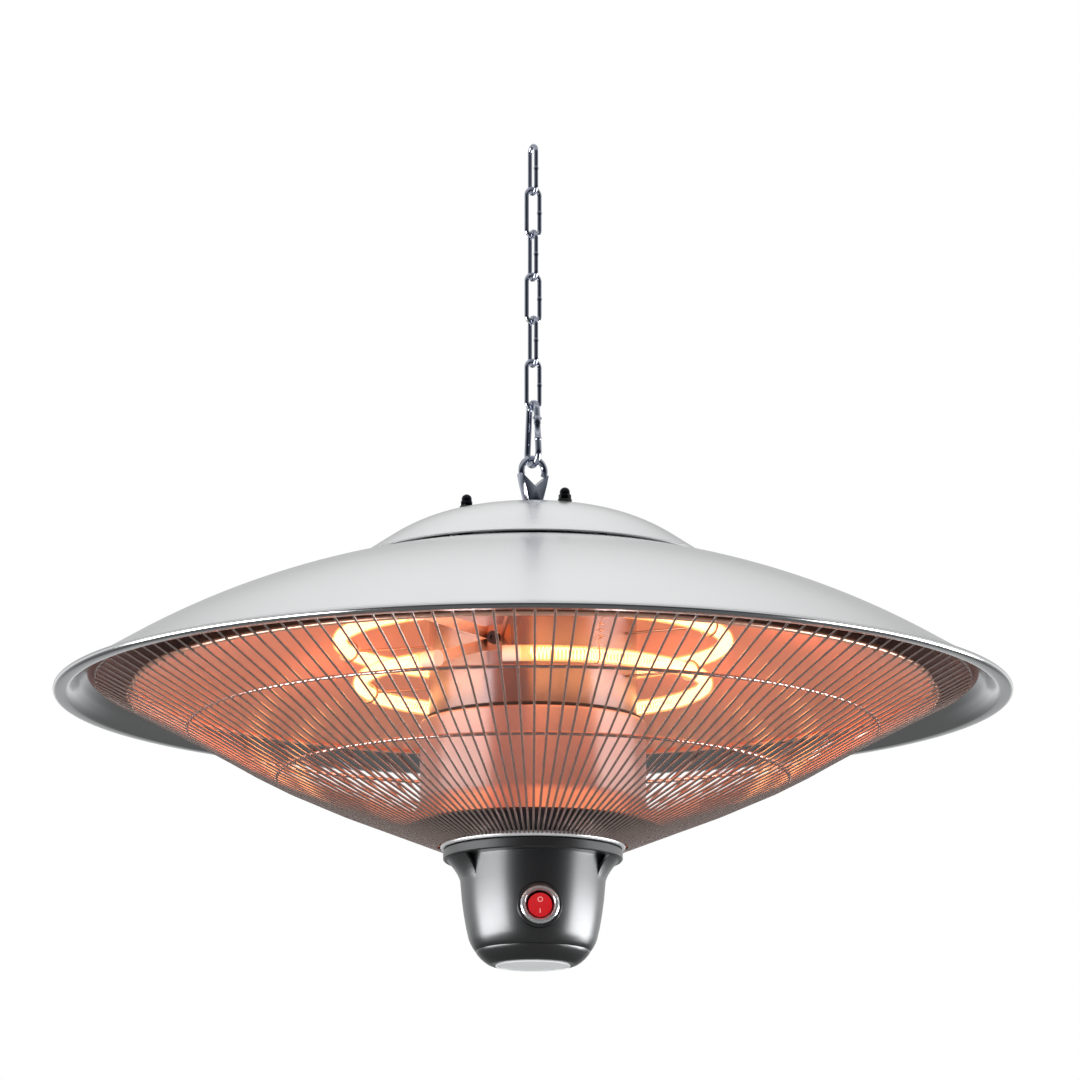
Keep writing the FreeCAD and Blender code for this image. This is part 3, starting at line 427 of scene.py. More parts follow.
# snap hook: pear-shaped wire with a rivet; its gate is a turned pin with a rounded head, a waist and a collar
hook = {
    "wire": 2.0, "top": 5.5, "bottom": 8.0, "pinDrop": 12.8, "gateLength": 15.0, "turn": -70.0,
    "stub": 2.0, "rivet": 0.95, "rivetReach": 2.7, "sides": 4,
    "gate": [  # radius and distance along from the pin
        (0, -1.6), (1.3, -1.6), (1.9, -1.3), (2.2, -0.6), (2.2, 3.6), (1.9, 4.2),
        (1.9, 12.2), (2.2, 12.5), (2.2, 14.2), (1.9, 14.6), (0, 14.6),
    ],
}


def makeHook():
    low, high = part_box("snap_hook_body")
    top, bottom = high.z * 1000 - hook["wire"], low.z * 1000 + hook["wire"]
    topCentre, bottomCentre = top - hook["top"], bottom + hook["bottom"]
    lean = math.asin((hook["bottom"] - hook["top"]) / (topCentre - bottomCentre))
    leanAngle = math.degrees(lean)
    down = Vector((math.sin(lean), 0, -math.cos(lean)))
    legTop = Vector((hook["top"] * math.cos(lean), 0, topCentre + hook["top"] * math.sin(lean)))
    pin = legTop + down * ((top + hook["wire"] - hook["pinDrop"] - legTop.z) / down.z)
    line = [pin + down * hook["stub"]]
    line += upright(arc((0, topCentre), hook["top"], leanAngle, 180 - leanAngle, 16))
    line += upright(arc((0, bottomCentre), hook["bottom"], 180 - leanAngle, 360 + leanAngle, 22))
    line.append(pin + down * hook["gateLength"])
    body = wire("hookWire", line, hook["wire"], hook["sides"])
    pinEnds = [pin + Vector((0, side * hook["rivetReach"], 0)) for side in (-1, 1)]
    rivet = wire("rivet", pinEnds, hook["rivet"], hook["sides"])
    body = joinPieces("hookWire", [body, rivet])
    gate = spin("gatePin", hook["gate"], 24, smoothAngle=45)
    gate.rotation_euler = (0, math.pi - lean, 0)
    gate.location = pin / 1000
    applyPlace(gate)
    for piece in (body, gate):
        turnPiece(piece, hook["turn"])
        smooth(piece, 50)
    settle(body, "snap_hook", "chain_chrome", "chrome", "snap_hook_body", "gate_pin")
    settle(gate, "hook_gate", "chain_chrome", "chrome", "snap_hook_gate")


makeHook()

# lifting eye: a wire bow that runs into a flat flared foot with a notch between its horns
eye = {
    "bend": 8.0, "wire": 2.0, "bowStart": -22, "sides": 4, "turn": 20.0,
    "horn": 10.4, "hornDrop": 11.7, "notchDrop": 20.7, "thick": 9.0, "cutter": 30.0, "edge": 0.5,
    "foot": [(0, 0), (5.5, 0), (6.0, 0.5), (6.1, 2.6), (7.4, 8), (8.8, 14)],
    "hornTip": [(10.0, -1.0), (9.9, 0), (0, 0)],
}


def makeEye():
    low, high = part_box("lifting_eye")
    top, seat = high.z * 1000, low.z * 1000
    centre = top - eye["wire"] - eye["bend"]
    horn, notch = top - eye["hornDrop"], top - eye["notchDrop"]
    bow = upright(arc((0, centre), eye["bend"], eye["bowStart"], 180 - eye["bowStart"], 26))
    bow = wire("bow", bow, eye["wire"], eye["sides"])
    foot = spin("foot", lifted(eye["foot"], seat) + lifted(eye["hornTip"], horn), 48)
    activate(foot)
    bpy.ops.object.mode_set(mode="EDIT")
    bpy.ops.mesh.select_mode(type="VERT")
    for side in (-1, 1):
        bpy.ops.mesh.select_all(action="SELECT")
        bpy.ops.mesh.bisect(
            plane_co=(0, side * eye["thick"] / 2000, 0), plane_no=(0, side, 0), clear_outer=True, use_fill=True,
        )
    deselect()
    # a square bar on its edge, squeezed to the horns' spread, cuts the notch
    bpy.ops.mesh.primitive_cube_add(size=eye["cutter"] / 1000, rotation=(0, math.radians(45), 0))
    cutter = bpy.context.object
    applyPlace(cutter)
    cutter.scale = (eye["horn"] / (horn - notch), 1, 1)
    cutter.location = (0, 0, (notch + eye["cutter"] / math.sqrt(2)) / 1000)
    applyPlace(cutter)
    cutAway(foot, cutter)
    roundEdges(foot, eye["edge"], 2, 40)
    piece = joinPieces("liftingEye", [foot, bow])
    turnPiece(piece, eye["turn"])
    smooth(piece, 40)
    settle(piece, "heater", "chain_chrome", "chrome", "lifting_eye")


makeEye()
print("hook and eye made")

# dish: flat crown, spherical dome, straight skirt, rolled hem
dish = {
    # the row's last radius ends the dark brown painted shade on the dish's inside
    "dome": 515.0, "skirt": 262.0, "radius": 300.0, "sheet": 1.2, "flat": 78.0, "hole": 45.0, "paintedShade": 278.5,
    "bead": 2.2, "hem": 9.0, "crestLead": 4.0, "crestLift": 0.1,
    "hemLip": [(1.6, 0), (0.4, 0.2), (-0.8, 0.9)],  # from the hem's inner edge and underside
    "hemRise": [(3.4, 3.6), (6.4, 1.2), (9.0, 0)],  # in from that edge, and down from the skirt
}
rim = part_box("dish")[0].z * 1000 + dish["bead"]  # height of the hem's middle, mm
skirtAngle = math.asin(dish["skirt"] / dish["dome"])
skirtEnd = dish["radius"] - dish["bead"]
domeCentre = rim + (skirtEnd - dish["skirt"]) * math.tan(skirtAngle) - dish["dome"] * math.cos(skirtAngle)


def domeLine(inset):
    reach = dish["dome"] - inset
    flatHeight = domeCentre + math.sqrt(dish["dome"]**2 - dish["flat"]**2) - inset
    start = 90 - math.degrees(math.acos((flatHeight - domeCentre) / reach))
    return [(dish["hole"], flatHeight)] + arc((0, domeCentre), reach, start, 90 - math.degrees(skirtAngle), 40)


def skirtHeight(radius, inset):
    return rim + (skirtEnd - radius) * math.tan(skirtAngle) - inset / math.cos(skirtAngle)


hemInner = dish["radius"] - dish["hem"]
crest = skirtEnd - dish["bead"] / math.tan(skirtAngle)
outline = domeLine(0)
outline += [(r, skirtHeight(r, 0)) for r in (crest - dish["crestLead"], crest)]
outline += [(crest + 0.8 * dish["bead"], rim + dish["bead"] + dish["crestLift"])]
outline += arc((skirtEnd, rim), dish["bead"], 90, -90, 12)
outline += [(hemInner + r, rim - dish["bead"] + rise) for r, rise in dish["hemLip"]]
outline += [(hemInner - r, skirtHeight(hemInner - r, dish["sheet"]) - drop) for r, drop in dish["hemRise"]]
outline += [(dish["paintedShade"], skirtHeight(dish["paintedShade"], dish["sheet"]))]
outline += domeLine(dish["sheet"])[::-1]
dishShell = settle(spin("dishShell", outline, 192), "heater", "silver_paint", "silver", "dish")


# the inside behind the guard is painted dark brown as painted shade, warmed by the rings' glow, and the brim
# and hem are polished
def finishInside(shell):
    edges = {"paintedShade": (0.0, dish["paintedShade"]), "brim": (dish["paintedShade"], crest), "hem": (crest, dish["radius"])}
    for index, zone in enumerate(edges):
        shell.data.materials.append(finishes["paintedShade" if zone == "paintedShade" else "brim"])
        activate(shell)
        shell.active_material_index = index + 1
        bpy.ops.object.mode_set(mode="EDIT")
        bpy.ops.mesh.select_mode(type="FACE")
        mesh = bmesh.from_edit_mesh(shell.data)
        for face in mesh.faces:
            radius = math.hypot(*face.calc_center_median()[:2]) * 1000
            within = edges[zone][0] < radius < edges[zone][1]
            face.select = within and (zone == "hem" or face.normal.z < -0.1)
        bmesh.update_edit_mesh(shell.data)
        bpy.ops.object.material_slot_assign()
        bpy.ops.object.mode_set(mode="OBJECT")


finishInside(dishShell)

# top cap: crown, shoulder and straight edge with a turned lip
cap = {
    "crown": 230.0, "reach": 54.0, "shoulder": 92.0, "radius": 111.0, "edge": 33.7, "sheet": 1.0, "hole": 4.1,
    "lip": [(0.8, -0.9), (0.4, -1.7)],
}
edgeAngle = math.radians(cap["edge"])
crownAngle = math.asin(cap["reach"] / cap["crown"])
shoulderBend = (cap["shoulder"] - cap["reach"]) / (math.sin(edgeAngle) - math.sin(crownAngle))
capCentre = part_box("top_cap")[1].z * 1000 - math.sqrt(cap["crown"]**2 - cap["hole"]**2)
shoulderCentre = (
    cap["reach"] - shoulderBend * math.sin(crownAngle),
    capCentre + (cap["crown"] - shoulderBend) * math.cos(crownAngle),
)


def capLine(inset):
    start = 90 - math.degrees(math.asin(cap["hole"] / (cap["crown"] - inset)))
    points = arc((0, capCentre), cap["crown"] - inset, start, 90 - math.degrees(crownAngle), 14)
    points += arc(shoulderCentre, shoulderBend - inset, 90 - math.degrees(crownAngle), 90 - cap["edge"], 12)[1:]
    slide = cap["radius"] - cap["shoulder"] - cap["sheet"]
    points.append((points[-1][0] + slide, points[-1][1] - slide * math.tan(edgeAngle)))
    return points


capOuter, capInner = capLine(0), capLine(cap["sheet"])
lip = [(capOuter[-1][0] + out, capOuter[-1][1] + rise) for out, rise in cap["lip"]]
settle(spin("capShell", capOuter + lip + capInner[::-1], 160), "heater", "silver_paint", "silver", "top_cap")

# acorn nuts: a hexagon under a turned dome, modelled once and copied to the four studs
acorn = {
    "flats": 7.0, "height": 7.8, "hex": 3.2, "chamfer": 0.3, "domeInset": 0.3, "domeLap": 0.4,
    "circle": 46.0, "first": 20.0, "count": 4,
}


def makeNuts():
    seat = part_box("cap_dome_nuts")[0].z * 1000
    deselect()
    bpy.ops.mesh.primitive_cylinder_add(
        vertices=6, radius=acorn["flats"] / math.sqrt(3) / 1000, depth=acorn["hex"] / 1000,
        location=(0, 0, (seat + acorn["hex"] / 2) / 1000), rotation=(0, 0, math.radians(30)),
    )
    hexPart = bpy.context.object
    applyPlace(hexPart)
    roundEdges(hexPart, acorn["chamfer"], 2)
    ball = acorn["flats"] / 2 - acorn["domeInset"]
    domeFoot = seat + acorn["hex"] - acorn["domeLap"]
    outline = [(0, domeFoot), (ball, domeFoot)] + arc((0, seat + acorn["height"] - ball), ball, 0, 90, 10)
    nut = joinPieces("acornNuts", [hexPart, spin("dome", outline, 32)])
    nut.location = (acorn["circle"] / 1000, 0, 0)
    applyPlace(nut)
    copyRound(nut, acorn["count"])
    turnPiece(nut, acorn["first"])
    smooth(nut, 40)
    settle(nut, "heater", "black_nickel", "nickel", "cap_dome_nuts")


makeNuts()
print("dish, cap and nuts made")

# inner reflector: a shallow dome of thin sheet with a rolled edge
reflector = {"dome": 500.0, "radius": 249.0, "rise": 4.0, "sheet": 0.8, "bead": 1.6, "hole": 65.3}
reflectorCentre = rim + reflector["rise"] - math.sqrt(reflector["dome"]**2 - reflector["radius"]**2)


def reflectorLine(proud):
    bend = reflector["dome"] + proud
    start = math.degrees(math.acos(reflector["hole"] / bend))
    return arc((0, reflectorCentre), bend, start, math.degrees(math.acos(reflector["radius"] / bend)), 40)


edge = arc((reflector["radius"], rim + reflector["rise"]), reflector["bead"], -170, 100, 12)
outline = reflectorLine(0) + edge + reflectorLine(reflector["sheet"])[::-1]
settle(spin("reflectorShell", outline, 160), "heater", "polished_aluminium", "reflector", "inner_reflector")

# column: a plain sleeve that stands in the drum's lid
column = {"radius": 65.0, "bore": 64.0, "foot": [(65.0, 0.4), (64.7, 0), (64.0, 0)]}
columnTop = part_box("reflector_column")[1].z * 1000
drumLow, drumTop = [corner.z * 1000 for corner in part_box("lower_drum")]
outline = [(column["bore"], columnTop), (column["radius"], columnTop)] + lifted(column["foot"], drumTop)
settle(spin("columnSleeve", outline, 160), "heater", "polished_aluminium", "column", "reflector_column")

# drum: rounded lid, straight side and a flared foot
drum = {
    "radius": 70.7, "corner": 1.6, "flare": 80.0, "flareDrop": 71.0, "wall": 1.0, "lid": 61.0,
    "flareBend": [(70.7, 3), (71.2, 0.6), (72.3, -2)],
}
flareHeight = rim - drum["flareDrop"]
drumBore = drum["radius"] - drum["wall"]
outline = [(drum["lid"], drumTop)]
outline += arc((drum["radius"] - drum["corner"], drumTop - drum["corner"]), drum["corner"], 90, 0, 6)
outline += lifted(drum["flareBend"], flareHeight)
outline += [(drum["flare"], drumLow), (drum["flare"] - drum["wall"], drumLow), (drumBore, flareHeight)]
outline += [(drumBore, drumTop - drum["wall"]), (drum["lid"], drumTop - drum["wall"])]
settle(spin("drumSleeve", outline, 160), "heater", "polished_aluminium", "drum", "lower_drum")

# dark rubber ring where the column stands in the drum's lid: a painted shadow for the gap there
shadowRing = {"outline": [(65.05, 0.05), (68.2, 0.05), (68.6, 0.8), (68.2, 2.2), (65.05, 2.4)]}
settle(spin("columnShadowRing", lifted(shadowRing["outline"], drumTop), 128), "heater", "black_rubber", "rubber")

# base pan: a shallow enamelled cone under the drum with a rounded rim
pan = {"hole": 14.0, "floor": 54.0, "sheet": 1.5, "rim": [(81.0, -1.5), (81.4, -0.7), (81.0, 0), (77.0, 0)]}
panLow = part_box("base_pan")[0].z * 1000
outline = [(pan["hole"], panLow), (pan["floor"], panLow)] + lifted(pan["rim"], drumLow)
outline += [(pan["floor"] - pan["sheet"], panLow + pan["sheet"]), (pan["hole"], panLow + pan["sheet"])]
settle(spin("basePan", outline, 128), "heater", "black_steel", "enamel", "base_pan")
print("reflector, column, drum and pan made")

# quartz rings and their coils
rings = {
    "upper": {"radius": 121.0, "turns": 286}, "lower": {"radius": 108.0, "turns": 256},
    "tube": 5.0, "middle": 63.4, "open": 34.0,
    "coil": 3.5, "strand": 0.45, "lead": 6.0, "strandSides": 5, "turnSteps": 10,
}
ringSweep = 360 - rings["open"]


def ringPlace(which):
    low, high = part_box(which + "_quartz_tube")
    return rings[which]["radius"], (low.z + high.z) * 500


def makeTube(which):
    outside = arc(ringPlace(which), rings["tube"], 0, 360, 20)[:-1]
    tube = spin(which + "Tube", outside, 120, ringSweep, rings["middle"] - ringSweep / 2, smoothAngle=60)
    return settle(tube, "heater", "quartz", "quartz", which + "_quartz_tube")


# a straight spring from the screw modifier, bent to the ring's arc
def makeCoil(which):
    radius, height = ringPlace(which)
    length = math.radians(ringSweep) * radius - 2 * rings["lead"]
    turns = rings[which]["turns"]
    deselect()
    bpy.ops.mesh.primitive_circle_add(
        vertices=rings["strandSides"], radius=rings["strand"] / 1000,
        location=(rings["coil"] / 1000, 0, -length / 2000), rotation=(math.radians(90), 0, 0),
    )
    coil = bpy.context.object
    coil.name = which + "Coil"
    applyPlace(coil)
    screw = coil.modifiers.new("wound", "SCREW")
    screw.axis = "Z"
    screw.iterations = turns
    screw.steps = screw.render_steps = rings["turnSteps"]
    screw.screw_offset = length / turns / 1000
    screw.use_merge_vertices = False
    bpy.ops.object.modifier_apply(modifier="wound")
    extent = [vert.co.z for vert in coil.data.vertices]
    bend = coil.modifiers.new("ring", "SIMPLE_DEFORM")
    bend.deform_method = "BEND"
    bend.deform_axis = "Y"
    bend.angle = (max(extent) - min(extent)) / (radius / 1000)
    bpy.ops.object.modifier_apply(modifier="ring")
    coil.location = (-radius / 1000, 0, 0)
    applyPlace(coil)
    coil.rotation_euler = (math.radians(90), 0, 0)
    applyPlace(coil)
    coil.location = (0, 0, height / 1000)
    turnPiece(coil, rings["middle"] - 180)
    bpy.ops.object.mode_set(mode="EDIT")
    bpy.ops.mesh.select_all(action="SELECT")
    bpy.ops.mesh.normals_make_consistent(inside=False)
    bpy.ops.object.mode_set(mode="OBJECT")
    smooth(coil, 60)
    return settle(coil, "heater", "glowing_filament", "glow", which + "_filament")


for which in ("upper", "lower"):
    makeTube(which)
    makeCoil(which)

# tie: a thin wire hooked round both tubes, curled in between
tie = {"turn": 285.6, "wire": 0.45, "curl": 1.7, "turns": 3, "steps": 8, "gap": 7.5}


def makeTie():
    upper, lower = ringPlace("upper"), ringPlace("lower")
    grip = rings["tube"] + tie["wire"]
    turn = math.radians(tie["turn"])
    outward, along = Vector((math.cos(turn), math.sin(turn), 0)), Vector((-math.sin(turn), math.cos(turn), 0))
    line = [outward * r + Vector((0, 0, z)) for r, z in arc(upper, grip, -70, 250, 20)]
    start, end = upper[1] - tie["gap"], lower[1] + tie["gap"]
    middle = (upper[0] + lower[0]) / 2
    steps = tie["steps"] * tie["turns"]
    for n in range(steps + 1):
        bend = 2 * math.pi * n / tie["steps"]
        point = outward * (middle - tie["curl"] * math.cos(bend)) + along * tie["curl"] * math.sin(bend)
        line.append(point + Vector((0, 0, start + (end - start) * n / steps)))
    line += [outward * r + Vector((0, 0, z)) for r, z in arc(lower, grip, 50, -240, 20)]
    settle(wire("ringTie", line, tie["wire"], 1), "heater", "heat_tinted_steel", "tinted")


makeTie()
print("quartz rings made")

# wire guard: one bowed wire copied round the axis, three hoops and a collar
guard = {
    "count": 136, "wire": 0.8, "hoop": 1.2,
    "line": [(274.4, 6.4), (216.4, -24.0), (160.5, -55.0), (59.2, -97.2)],
    "collar": 55.6, "collarLip": 57.2, "collarBend": 1.6, "bendCentre": 56.2,
}


def makeGuardWires():
    points = [(r, 0, z) for r, z in lifted(guard["line"], rim)]
    one = wire("guardWires", points, guard["wire"], 1, kind="BEZIER", resolution=3)
    copyRound(one, guard["count"])
    smooth(one, 70)
    return settle(one, "heater", "guard_chrome", "guard", "guard_wires")


makeGuardWires()
for which in ("top", "upper", "lower"):
    low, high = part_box("guard_%s_hoop" % which)
    outline = arc((high.x * 1000 - guard["hoop"], (low.z + high.z) * 500), guard["hoop"], 0, 360, 8)[:-1]
    hoop = spin(which + "Hoop", outline, 160, smoothAngle=70)
    settle(hoop, "heater", "guard_chrome", "guard", "guard_%s_hoop" % which)
collarLow, collarTop = [corner.z * 1000 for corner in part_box("guard_collar")]
outline = [(guard["collar"], collarLow), (guard["collarLip"], collarLow)]
outline += arc((guard["bendCentre"], (collarLow + collarTop) / 2), guard["collarBend"], -70, 70, 6)
outline += [(guard["collarLip"], collarTop), (guard["collar"], collarTop)]
settle(spin("footCollar", outline, 160), "heater", "guard_chrome", "satin", "guard_collar")
print("guard made")

# switch housing: flange, cup and two flared wings; cup points are (radius, drop below the rim)
housing = {
    "flange": 56.0, "flangeBore": 41.3, "flangeHeight": 7.0, "lowEdge": 0.8, "topEdge": 1.2, "lap": 2.5,
    "top": 46.5, "wall": 2.5, "neck": (45.1, 121.0), "waist": (44.2, 131.0), "shoulder": (40.0, 155.0),
    "side": [(43.0, 140.0), (41.6, 148.0)], "turn": [(39.0, 157.6), (37.7, 160.1)],
    "seam": (36.0, 162.6), "seamLip": [(36.25, 162.2), (35.75, 162.5), (35.5, 162.6)],
    "wing": 2.2, "wingDrop": 123.0, "wingInset": 1.9, "wingCurve": 1.9, "wingFrom": -33.0, "wingSweep": 66.0,
    "wingSteps": 8,
}
flangeTop = collarLow
flangeLow = flangeTop - housing["flangeHeight"]
lapHeight = flangeLow + housing["lap"]
seamHeight = rim - housing["seam"][1]


def makeHousing():
    outside = [housing["neck"], housing["waist"], *housing["side"]]
    outside += [housing["shoulder"], *housing["turn"], *housing["seamLip"]]
    inside = [housing["seam"], housing["shoulder"], housing["waist"]]
    inside = [(r - housing["wall"], drop) for r, drop in inside]
    outline = [(housing["top"], lapHeight)] + [(r, rim - drop) for r, drop in outside + inside]
    outline.append((housing["top"] - housing["wall"], lapHeight))
    cup = spin("cup", outline, 128, smoothAngle=50)
    outer, bore = housing["flange"], housing["flangeBore"]
    lowEdge, topEdge = housing["lowEdge"], housing["topEdge"]
    ring = [(bore, flangeLow), (outer - lowEdge, flangeLow), (outer, flangeLow + lowEdge)]
    ring += [(outer, flangeTop - topEdge), (outer - topEdge, flangeTop), (bore, flangeTop)]
    flange = spin("flange", ring, 128)
    half = housing["wing"] / 2
    low = (housing["top"] - housing["wingInset"] - half, rim - housing["wingDrop"])
    high = (outer - half, lapHeight)
    line = []
    for n in range(housing["wingSteps"] + 1):
        share = n / housing["wingSteps"]
        radius = low[0] + (high[0] - low[0]) * share**housing["wingCurve"]
        line.append((radius, low[1] + (high[1] - low[1]) * share))
    outline = [(r + half, z) for r, z in line] + [(r - half, z) for r, z in line[::-1]]
    wings = [
        spin("wing", outline, 24, housing["wingSweep"], first, smoothAngle=50)
        for first in (housing["wingFrom"], housing["wingFrom"] + 180)
    ]
    return joinPieces("housingShell", [cup, flange] + wings)


shell = makeHousing()
print("housing shell made")

# a round recess is cut in the cup's front for the switch, then its flat floor is put in
recess = {
    "radius": 14.2, "depth": 20.0, "middle": -5.0,
    "floor": [(10.1, 6), (10.1, 0.5), (10.5, 0), (13.2, 0), (13.7, 0.2), (14.0, 0.7), (14.0, 6)],
}
bezelLow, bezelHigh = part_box("switch_bezel")
switchHeight = (bezelLow.z + bezelHigh.z) * 500
bezelFront, bossFace = bezelLow.y * 1000, bezelHigh.y * 1000


def sinkSwitch(shell):
    deselect()
    bpy.ops.mesh.primitive_cylinder_add(
        vertices=64, radius=recess["radius"] / 1000, depth=recess["depth"] / 1000,
        rotation=(math.radians(90), 0, 0),
        location=(0, (bossFace + recess["middle"]) / 1000, switchHeight / 1000),
    )
    cutter = bpy.context.object
    applyPlace(cutter)
    cutAway(shell, cutter, useSelf=True)


sinkSwitch(shell)
boss = spin("boss", lifted(recess["floor"], bossFace), 64, about=switchHeight)
shell = joinPieces("housingShell", [shell, boss])
smooth(shell, 40)
settle(shell, "heater", "charcoal_plastic", "charcoal", "switch_housing")

# lower cover: a bowl that closes the cup from its seam to the lens
cover = {
    "bowl": [(35.5, 0), (35.75, -0.15), (35.7, -0.5), (34.6, -2.2), (32.6, -4.5), (30.3, -6.5), (28.2, -7.9)],
    "mouth": [(26.4, 0.2), (24.2, 0), (23.6, 0.5), (23.6, 3.4)], "inside": 33.5,
}
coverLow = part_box("lower_cover")[0].z * 1000
outline = lifted(cover["bowl"], seamHeight) + lifted(cover["mouth"], coverLow)
outline.append((cover["inside"], seamHeight))
coverShell = spin("coverShell", outline, 128, smoothAngle=50)
settle(coverShell, "heater", "charcoal_plastic", "charcoal", "lower_cover")

# lamp lens: a slightly bulged frosted disc in a thin ring whose pale colour is a painted highlight
lens = {
    "face": 22.2, "steps": 8, "edge": [(22.4, 0.5), (22.6, -0.5), (23.4, -0.3), (23.4, 3.3), (0, 3.3)],
    "ring": 22.9, "ringDrop": 0.35, "ringWire": 0.5,
}
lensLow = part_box("lamp_lens")[0].z * 1000
outline = []
for n in range(lens["steps"] + 1):
    share = n / lens["steps"]
    outline.append((lens["face"] * share, lensLow + (coverLow - lensLow) * share**2))
lensDisc = spin("lensDisc", outline + lifted(lens["edge"], coverLow), 96)
dress(lensDisc, "lens")
# a thin ring at the lens's edge, pale as a painted highlight
outline = arc((lens["ring"], coverLow - lens["ringDrop"]), lens["ringWire"], 0, 360, 10)[:-1]
lensHighlightRing = spin("lensHighlightRing", outline, 96, smoothAngle=70)
dress(lensHighlightRing, "pale")
lensDisc = joinPieces("lensDisc", [lensDisc, lensHighlightRing])
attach(lensDisc, "heater")
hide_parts("lamp_lens")

# round rocker switch: bezel with a rounded lip, dished red rocker with its two marks
bezel = {
    "bore": 8.6, "radius": 12.0,
    "lip": [(8.6, 1.3), (9.1, 0.5), (9.7, 0), (10.7, 0), (11.5, 0.3), (12.0, 1.0)],
}
outline = [(bezel["bore"], bossFace)] + lifted(bezel["lip"], bezelFront) + [(bezel["radius"], bossFace)]
settle(spin("bezelRing", outline, 64, about=switchHeight), "heater", "chain_chrome", "bezel", "switch_bezel")

# the rocker is a thick disc hollowed along its middle, tilted to its on side, with a ring and a bar as marks
rocker = {
    "radius": 7.5, "thick": 6.0, "proud": 0.3, "throw": 14.0, "pivot": 3.4, "hollow": 0.7, "cutter": 20.0,
    "edge": 0.4, "mark": 3.5, "markLift": 0.1, "ring": 1.4, "ringWire": 0.3,
    "bar": (0.6, 0.5, 2.8), "barEdge": 0.18,
}


def makeRocker():
    front = bezelFront - rocker["proud"]
    pivot = Vector((0, bossFace + rocker["pivot"], switchHeight)) / 1000
    deselect()
    bpy.ops.mesh.primitive_cylinder_add(
        vertices=64, radius=rocker["radius"] / 1000, depth=rocker["thick"] / 1000,
        rotation=(math.radians(90), 0, 0),
        location=(0, (front + rocker["thick"] / 2) / 1000, switchHeight / 1000),
    )
    disc = bpy.context.object
    applyPlace(disc)
    bend = (rocker["radius"]**2 + rocker["hollow"]**2) / (2 * rocker["hollow"])
    deselect()
    bpy.ops.mesh.primitive_cylinder_add(
        vertices=256, radius=bend / 1000, depth=rocker["cutter"] / 1000, rotation=(0, math.radians(90), 0),
        location=(0, (front + rocker["hollow"] - bend) / 1000, switchHeight / 1000),
    )
    cutter = bpy.context.object
    applyPlace(cutter)
    cutAway(disc, cutter)
    roundEdges(disc, rocker["edge"], 3, 50)
    smooth(disc, 40)
    dress(disc, "red")
    slope = math.atan(2 * rocker["hollow"] * rocker["mark"] / rocker["radius"]**2)
    level = front + rocker["hollow"] * (1 - (rocker["mark"] / rocker["radius"])**2) - rocker["markLift"]
    deselect()
    bpy.ops.mesh.primitive_torus_add(
        major_radius=rocker["ring"] / 1000, minor_radius=rocker["ringWire"] / 1000,
        major_segments=28, minor_segments=8, rotation=(math.radians(90) + slope, 0, 0),
        location=(0, level / 1000, (switchHeight + rocker["mark"]) / 1000),
    )
    ring = bpy.context.object
    applyPlace(ring)
    smooth(ring, 60)
    deselect()
    bpy.ops.mesh.primitive_cube_add(
        size=0.001, location=(0, level / 1000, (switchHeight - rocker["mark"]) / 1000),
    )
    bar = bpy.context.object
    bar.scale = rocker["bar"]
    bar.rotation_euler = (-slope, 0, 0)
    applyPlace(bar)
    roundEdges(bar, rocker["barEdge"], 2)
    for mark in (ring, bar):
        dress(mark, "print")
    piece = joinPieces("rockerButton", [disc, ring, bar])
    tilt = Matrix.Translation(pivot) @ Matrix.Rotation(math.radians(rocker["throw"] / 2), 4, "X")
    piece.matrix_world = tilt @ Matrix.Translation(-pivot)
    applyPlace(piece)
    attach(piece, "switch_rocker")
    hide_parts("rocker")


makeRocker()
print("housing and switch made")

plain = {
    "rubber": ["cap_washers", "cable_grommet"],
    "zinc": ["hanger_stud", "stud_nuts", "hanger_plate", "tie_rods", "tie_rod_nuts", "cap_studs", "cap_spacers",
             "reflector_spacers", "housing_screws", "guard_clips"],
    "tinted": ["tube_support_wires", "tube_bracket"], "enamel": ["bracket_screw"],
    "steatite": ["upper_tube_end_caps", "lower_tube_end_caps", "terminal_block"],
    "charcoal": ["switch_barrel", "control_relay"], "board": ["receiver_board", "control_board"],
}
for finish, names in plain.items():
    for name in names:
        dress(nodes[name], finish)
print("carried-over solids dressed")

# camera at the photograph's angle
view = {"azimuth": 5.6, "elevation": 11.3, "distance": 5.0, "width": 0.678, "aim": (4.4, -253.3), "sensor": 36}
az, el = math.radians(view["azimuth"]), math.radians(view["elevation"])
right = Vector((math.cos(az), -math.sin(az), 0))
back = Vector((-math.sin(az) * math.cos(el), -math.cos(az) * math.cos(el), -math.sin(el)))
aim = right * (view["aim"][0] / 1000) + Vector((0, 0, view["aim"][1] / 1000))
lensData = bpy.data.cameras.new("photoCamera")
lensData.sensor_width = view["sensor"]
lensData.lens = view["sensor"] * view["distance"] / view["width"]
lensData.clip_end = 500
camera = bpy.data.objects.new("photoCamera", lensData)
camera.location = aim + back * view["distance"]
camera.rotation_euler = back.to_track_quat("Z", "Y").to_euler()
bpy.context.scene.collection.objects.link(camera)
bpy.context.scene.camera = camera
bpy.context.scene.view_settings.view_transform = "Standard"

# pale floor well below the hanging heater, which only the camera and soft light see
ground = {"size": 400, "height": -6.5}
deselect()
bpy.ops.mesh.primitive_plane_add(size=ground["size"], location=(0, 0, ground["height"]))
floor = bpy.context.object
floor.name = "paleFloor"
floor.data.materials.append(startMaterial("palePaint", {
    "Base Color": linear("#f2f2f0"), "Roughness": 0.9,
    "Emission Color": linear("#ffffff"), "Emission Strength": 0.5,
})[0])
floor.visible_glossy = False

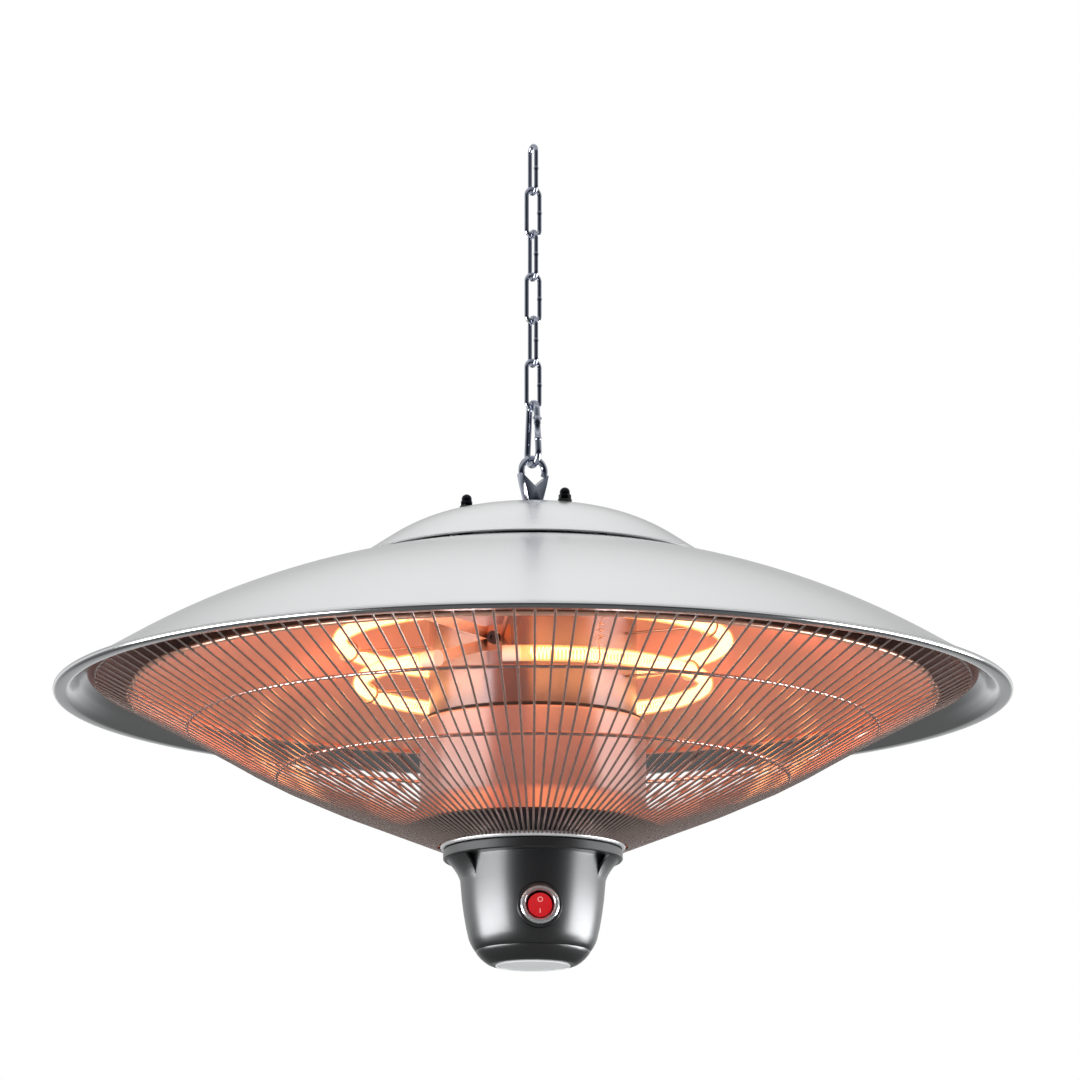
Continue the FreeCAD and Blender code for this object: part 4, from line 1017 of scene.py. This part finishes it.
# white studio: the lens sees white, the metal sees a dark front and floor, a bright back wall and ceiling
world = bpy.data.worlds.new("whiteStudio")
bpy.context.scene.world = world
world.use_nodes = True
room = world.node_tree.nodes["Background"]
where = addNode(world, "ShaderNodeTexCoord", {}).outputs["Generated"]
upAndBack = (0.0, 0.45, 0.9)
lean = addNode(world, "ShaderNodeVectorMath", {0: where, 1: upAndBack}, operation="DOT_PRODUCT")
share = addNode(world, "ShaderNodeMapRange", {
    "Value": lean.outputs["Value"], "From Min": -1.0, "From Max": 1.0,
})
ramp = addNode(world, "ShaderNodeValToRGB", {"Fac": share.outputs["Result"]})
shades = [
    (0.0, "#1f2028"), (0.38, "#2b2e36"), (0.475, "#6c6f72"), (0.63, "#c8cacb"), (0.715, "#ffffff"),
    (0.8, "#cccccc"), (0.88, "#bababa"), (0.93, "#e2e2e2"), (0.985, "#ffffff"),
]
while len(ramp.color_ramp.elements) < len(shades):
    ramp.color_ramp.elements.new(0.5)
for stop, (place, shade) in zip(ramp.color_ramp.elements, shades):
    stop.position = place
    stop.color = linear(shade)
axes = addNode(world, "ShaderNodeSeparateXYZ", {"Vector": where})
depth = addNode(world, "ShaderNodeMapRange", {"Value": axes.outputs["Z"], "From Min": 0.0, "From Max": -0.4})
below = blend(world, depth.outputs["Result"], ramp.outputs["Color"], linear("#646464"))
path = addNode(world, "ShaderNodeLightPath", {})
plug(world, blend(world, path.outputs["Is Camera Ray"], below, linear("#ffffff")), room, "Color")
room.inputs["Strength"].default_value = 1.0

# soft boxes, in metres and watts: the side ones only make highlights, the front one only fills the shadows
softBoxes = {
    "leftBox": {"place": (-1.75, -0.3, -0.85), "target": (0, 0, -0.45), "size": (2.1, 0.8), "power": 44},
    "rightBox": {"place": (1.75, 0.0, -0.85), "target": (0, 0, -0.45), "size": (1.9, 0.8), "power": 44},
    "frontBox": {"place": (0, -3.0, -0.9), "target": (0, 0, -0.4), "size": (2.0, 1.5), "power": 40},
}
for name, box in softBoxes.items():
    data = bpy.data.lights.new(name, "AREA")
    data.shape = "RECTANGLE"
    data.size, data.size_y = box["size"]
    data.energy = box["power"]
    lamp = bpy.data.objects.new(name, data)
    lamp.location = box["place"]
    lamp.rotation_euler = (Vector(box["place"]) - Vector(box["target"])).to_track_quat("Z", "Y").to_euler()
    lamp.visible_camera = False
    lamp.visible_diffuse = name == "frontBox"
    lamp.visible_glossy = name != "frontBox"
    bpy.context.scene.collection.objects.link(lamp)

# warm light from the rings, spread over the reflector
ringLight = {
    "count": 8, "radius": 0.15, "height": rim / 1000 + 0.012, "power": 0.24, "colour": "#ff8c60", "size": 0.02,
}
for n in range(ringLight["count"]):
    turn = 2 * math.pi * n / ringLight["count"]
    data = bpy.data.lights.new("ringGlow%d" % n, "POINT")
    data.energy = ringLight["power"]
    data.color = linear(ringLight["colour"])[:3]
    data.shadow_soft_size = ringLight["size"]
    lamp = bpy.data.objects.new("ringGlow%d" % n, data)
    lamp.location = Vector((math.cos(turn), math.sin(turn), 0)) * ringLight["radius"]
    lamp.location.z = ringLight["height"]
    lamp.visible_glossy = False
    lamp.visible_camera = False
    bpy.context.scene.collection.objects.link(lamp)
    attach(lamp, "heater")
print("camera, floor and lights set")
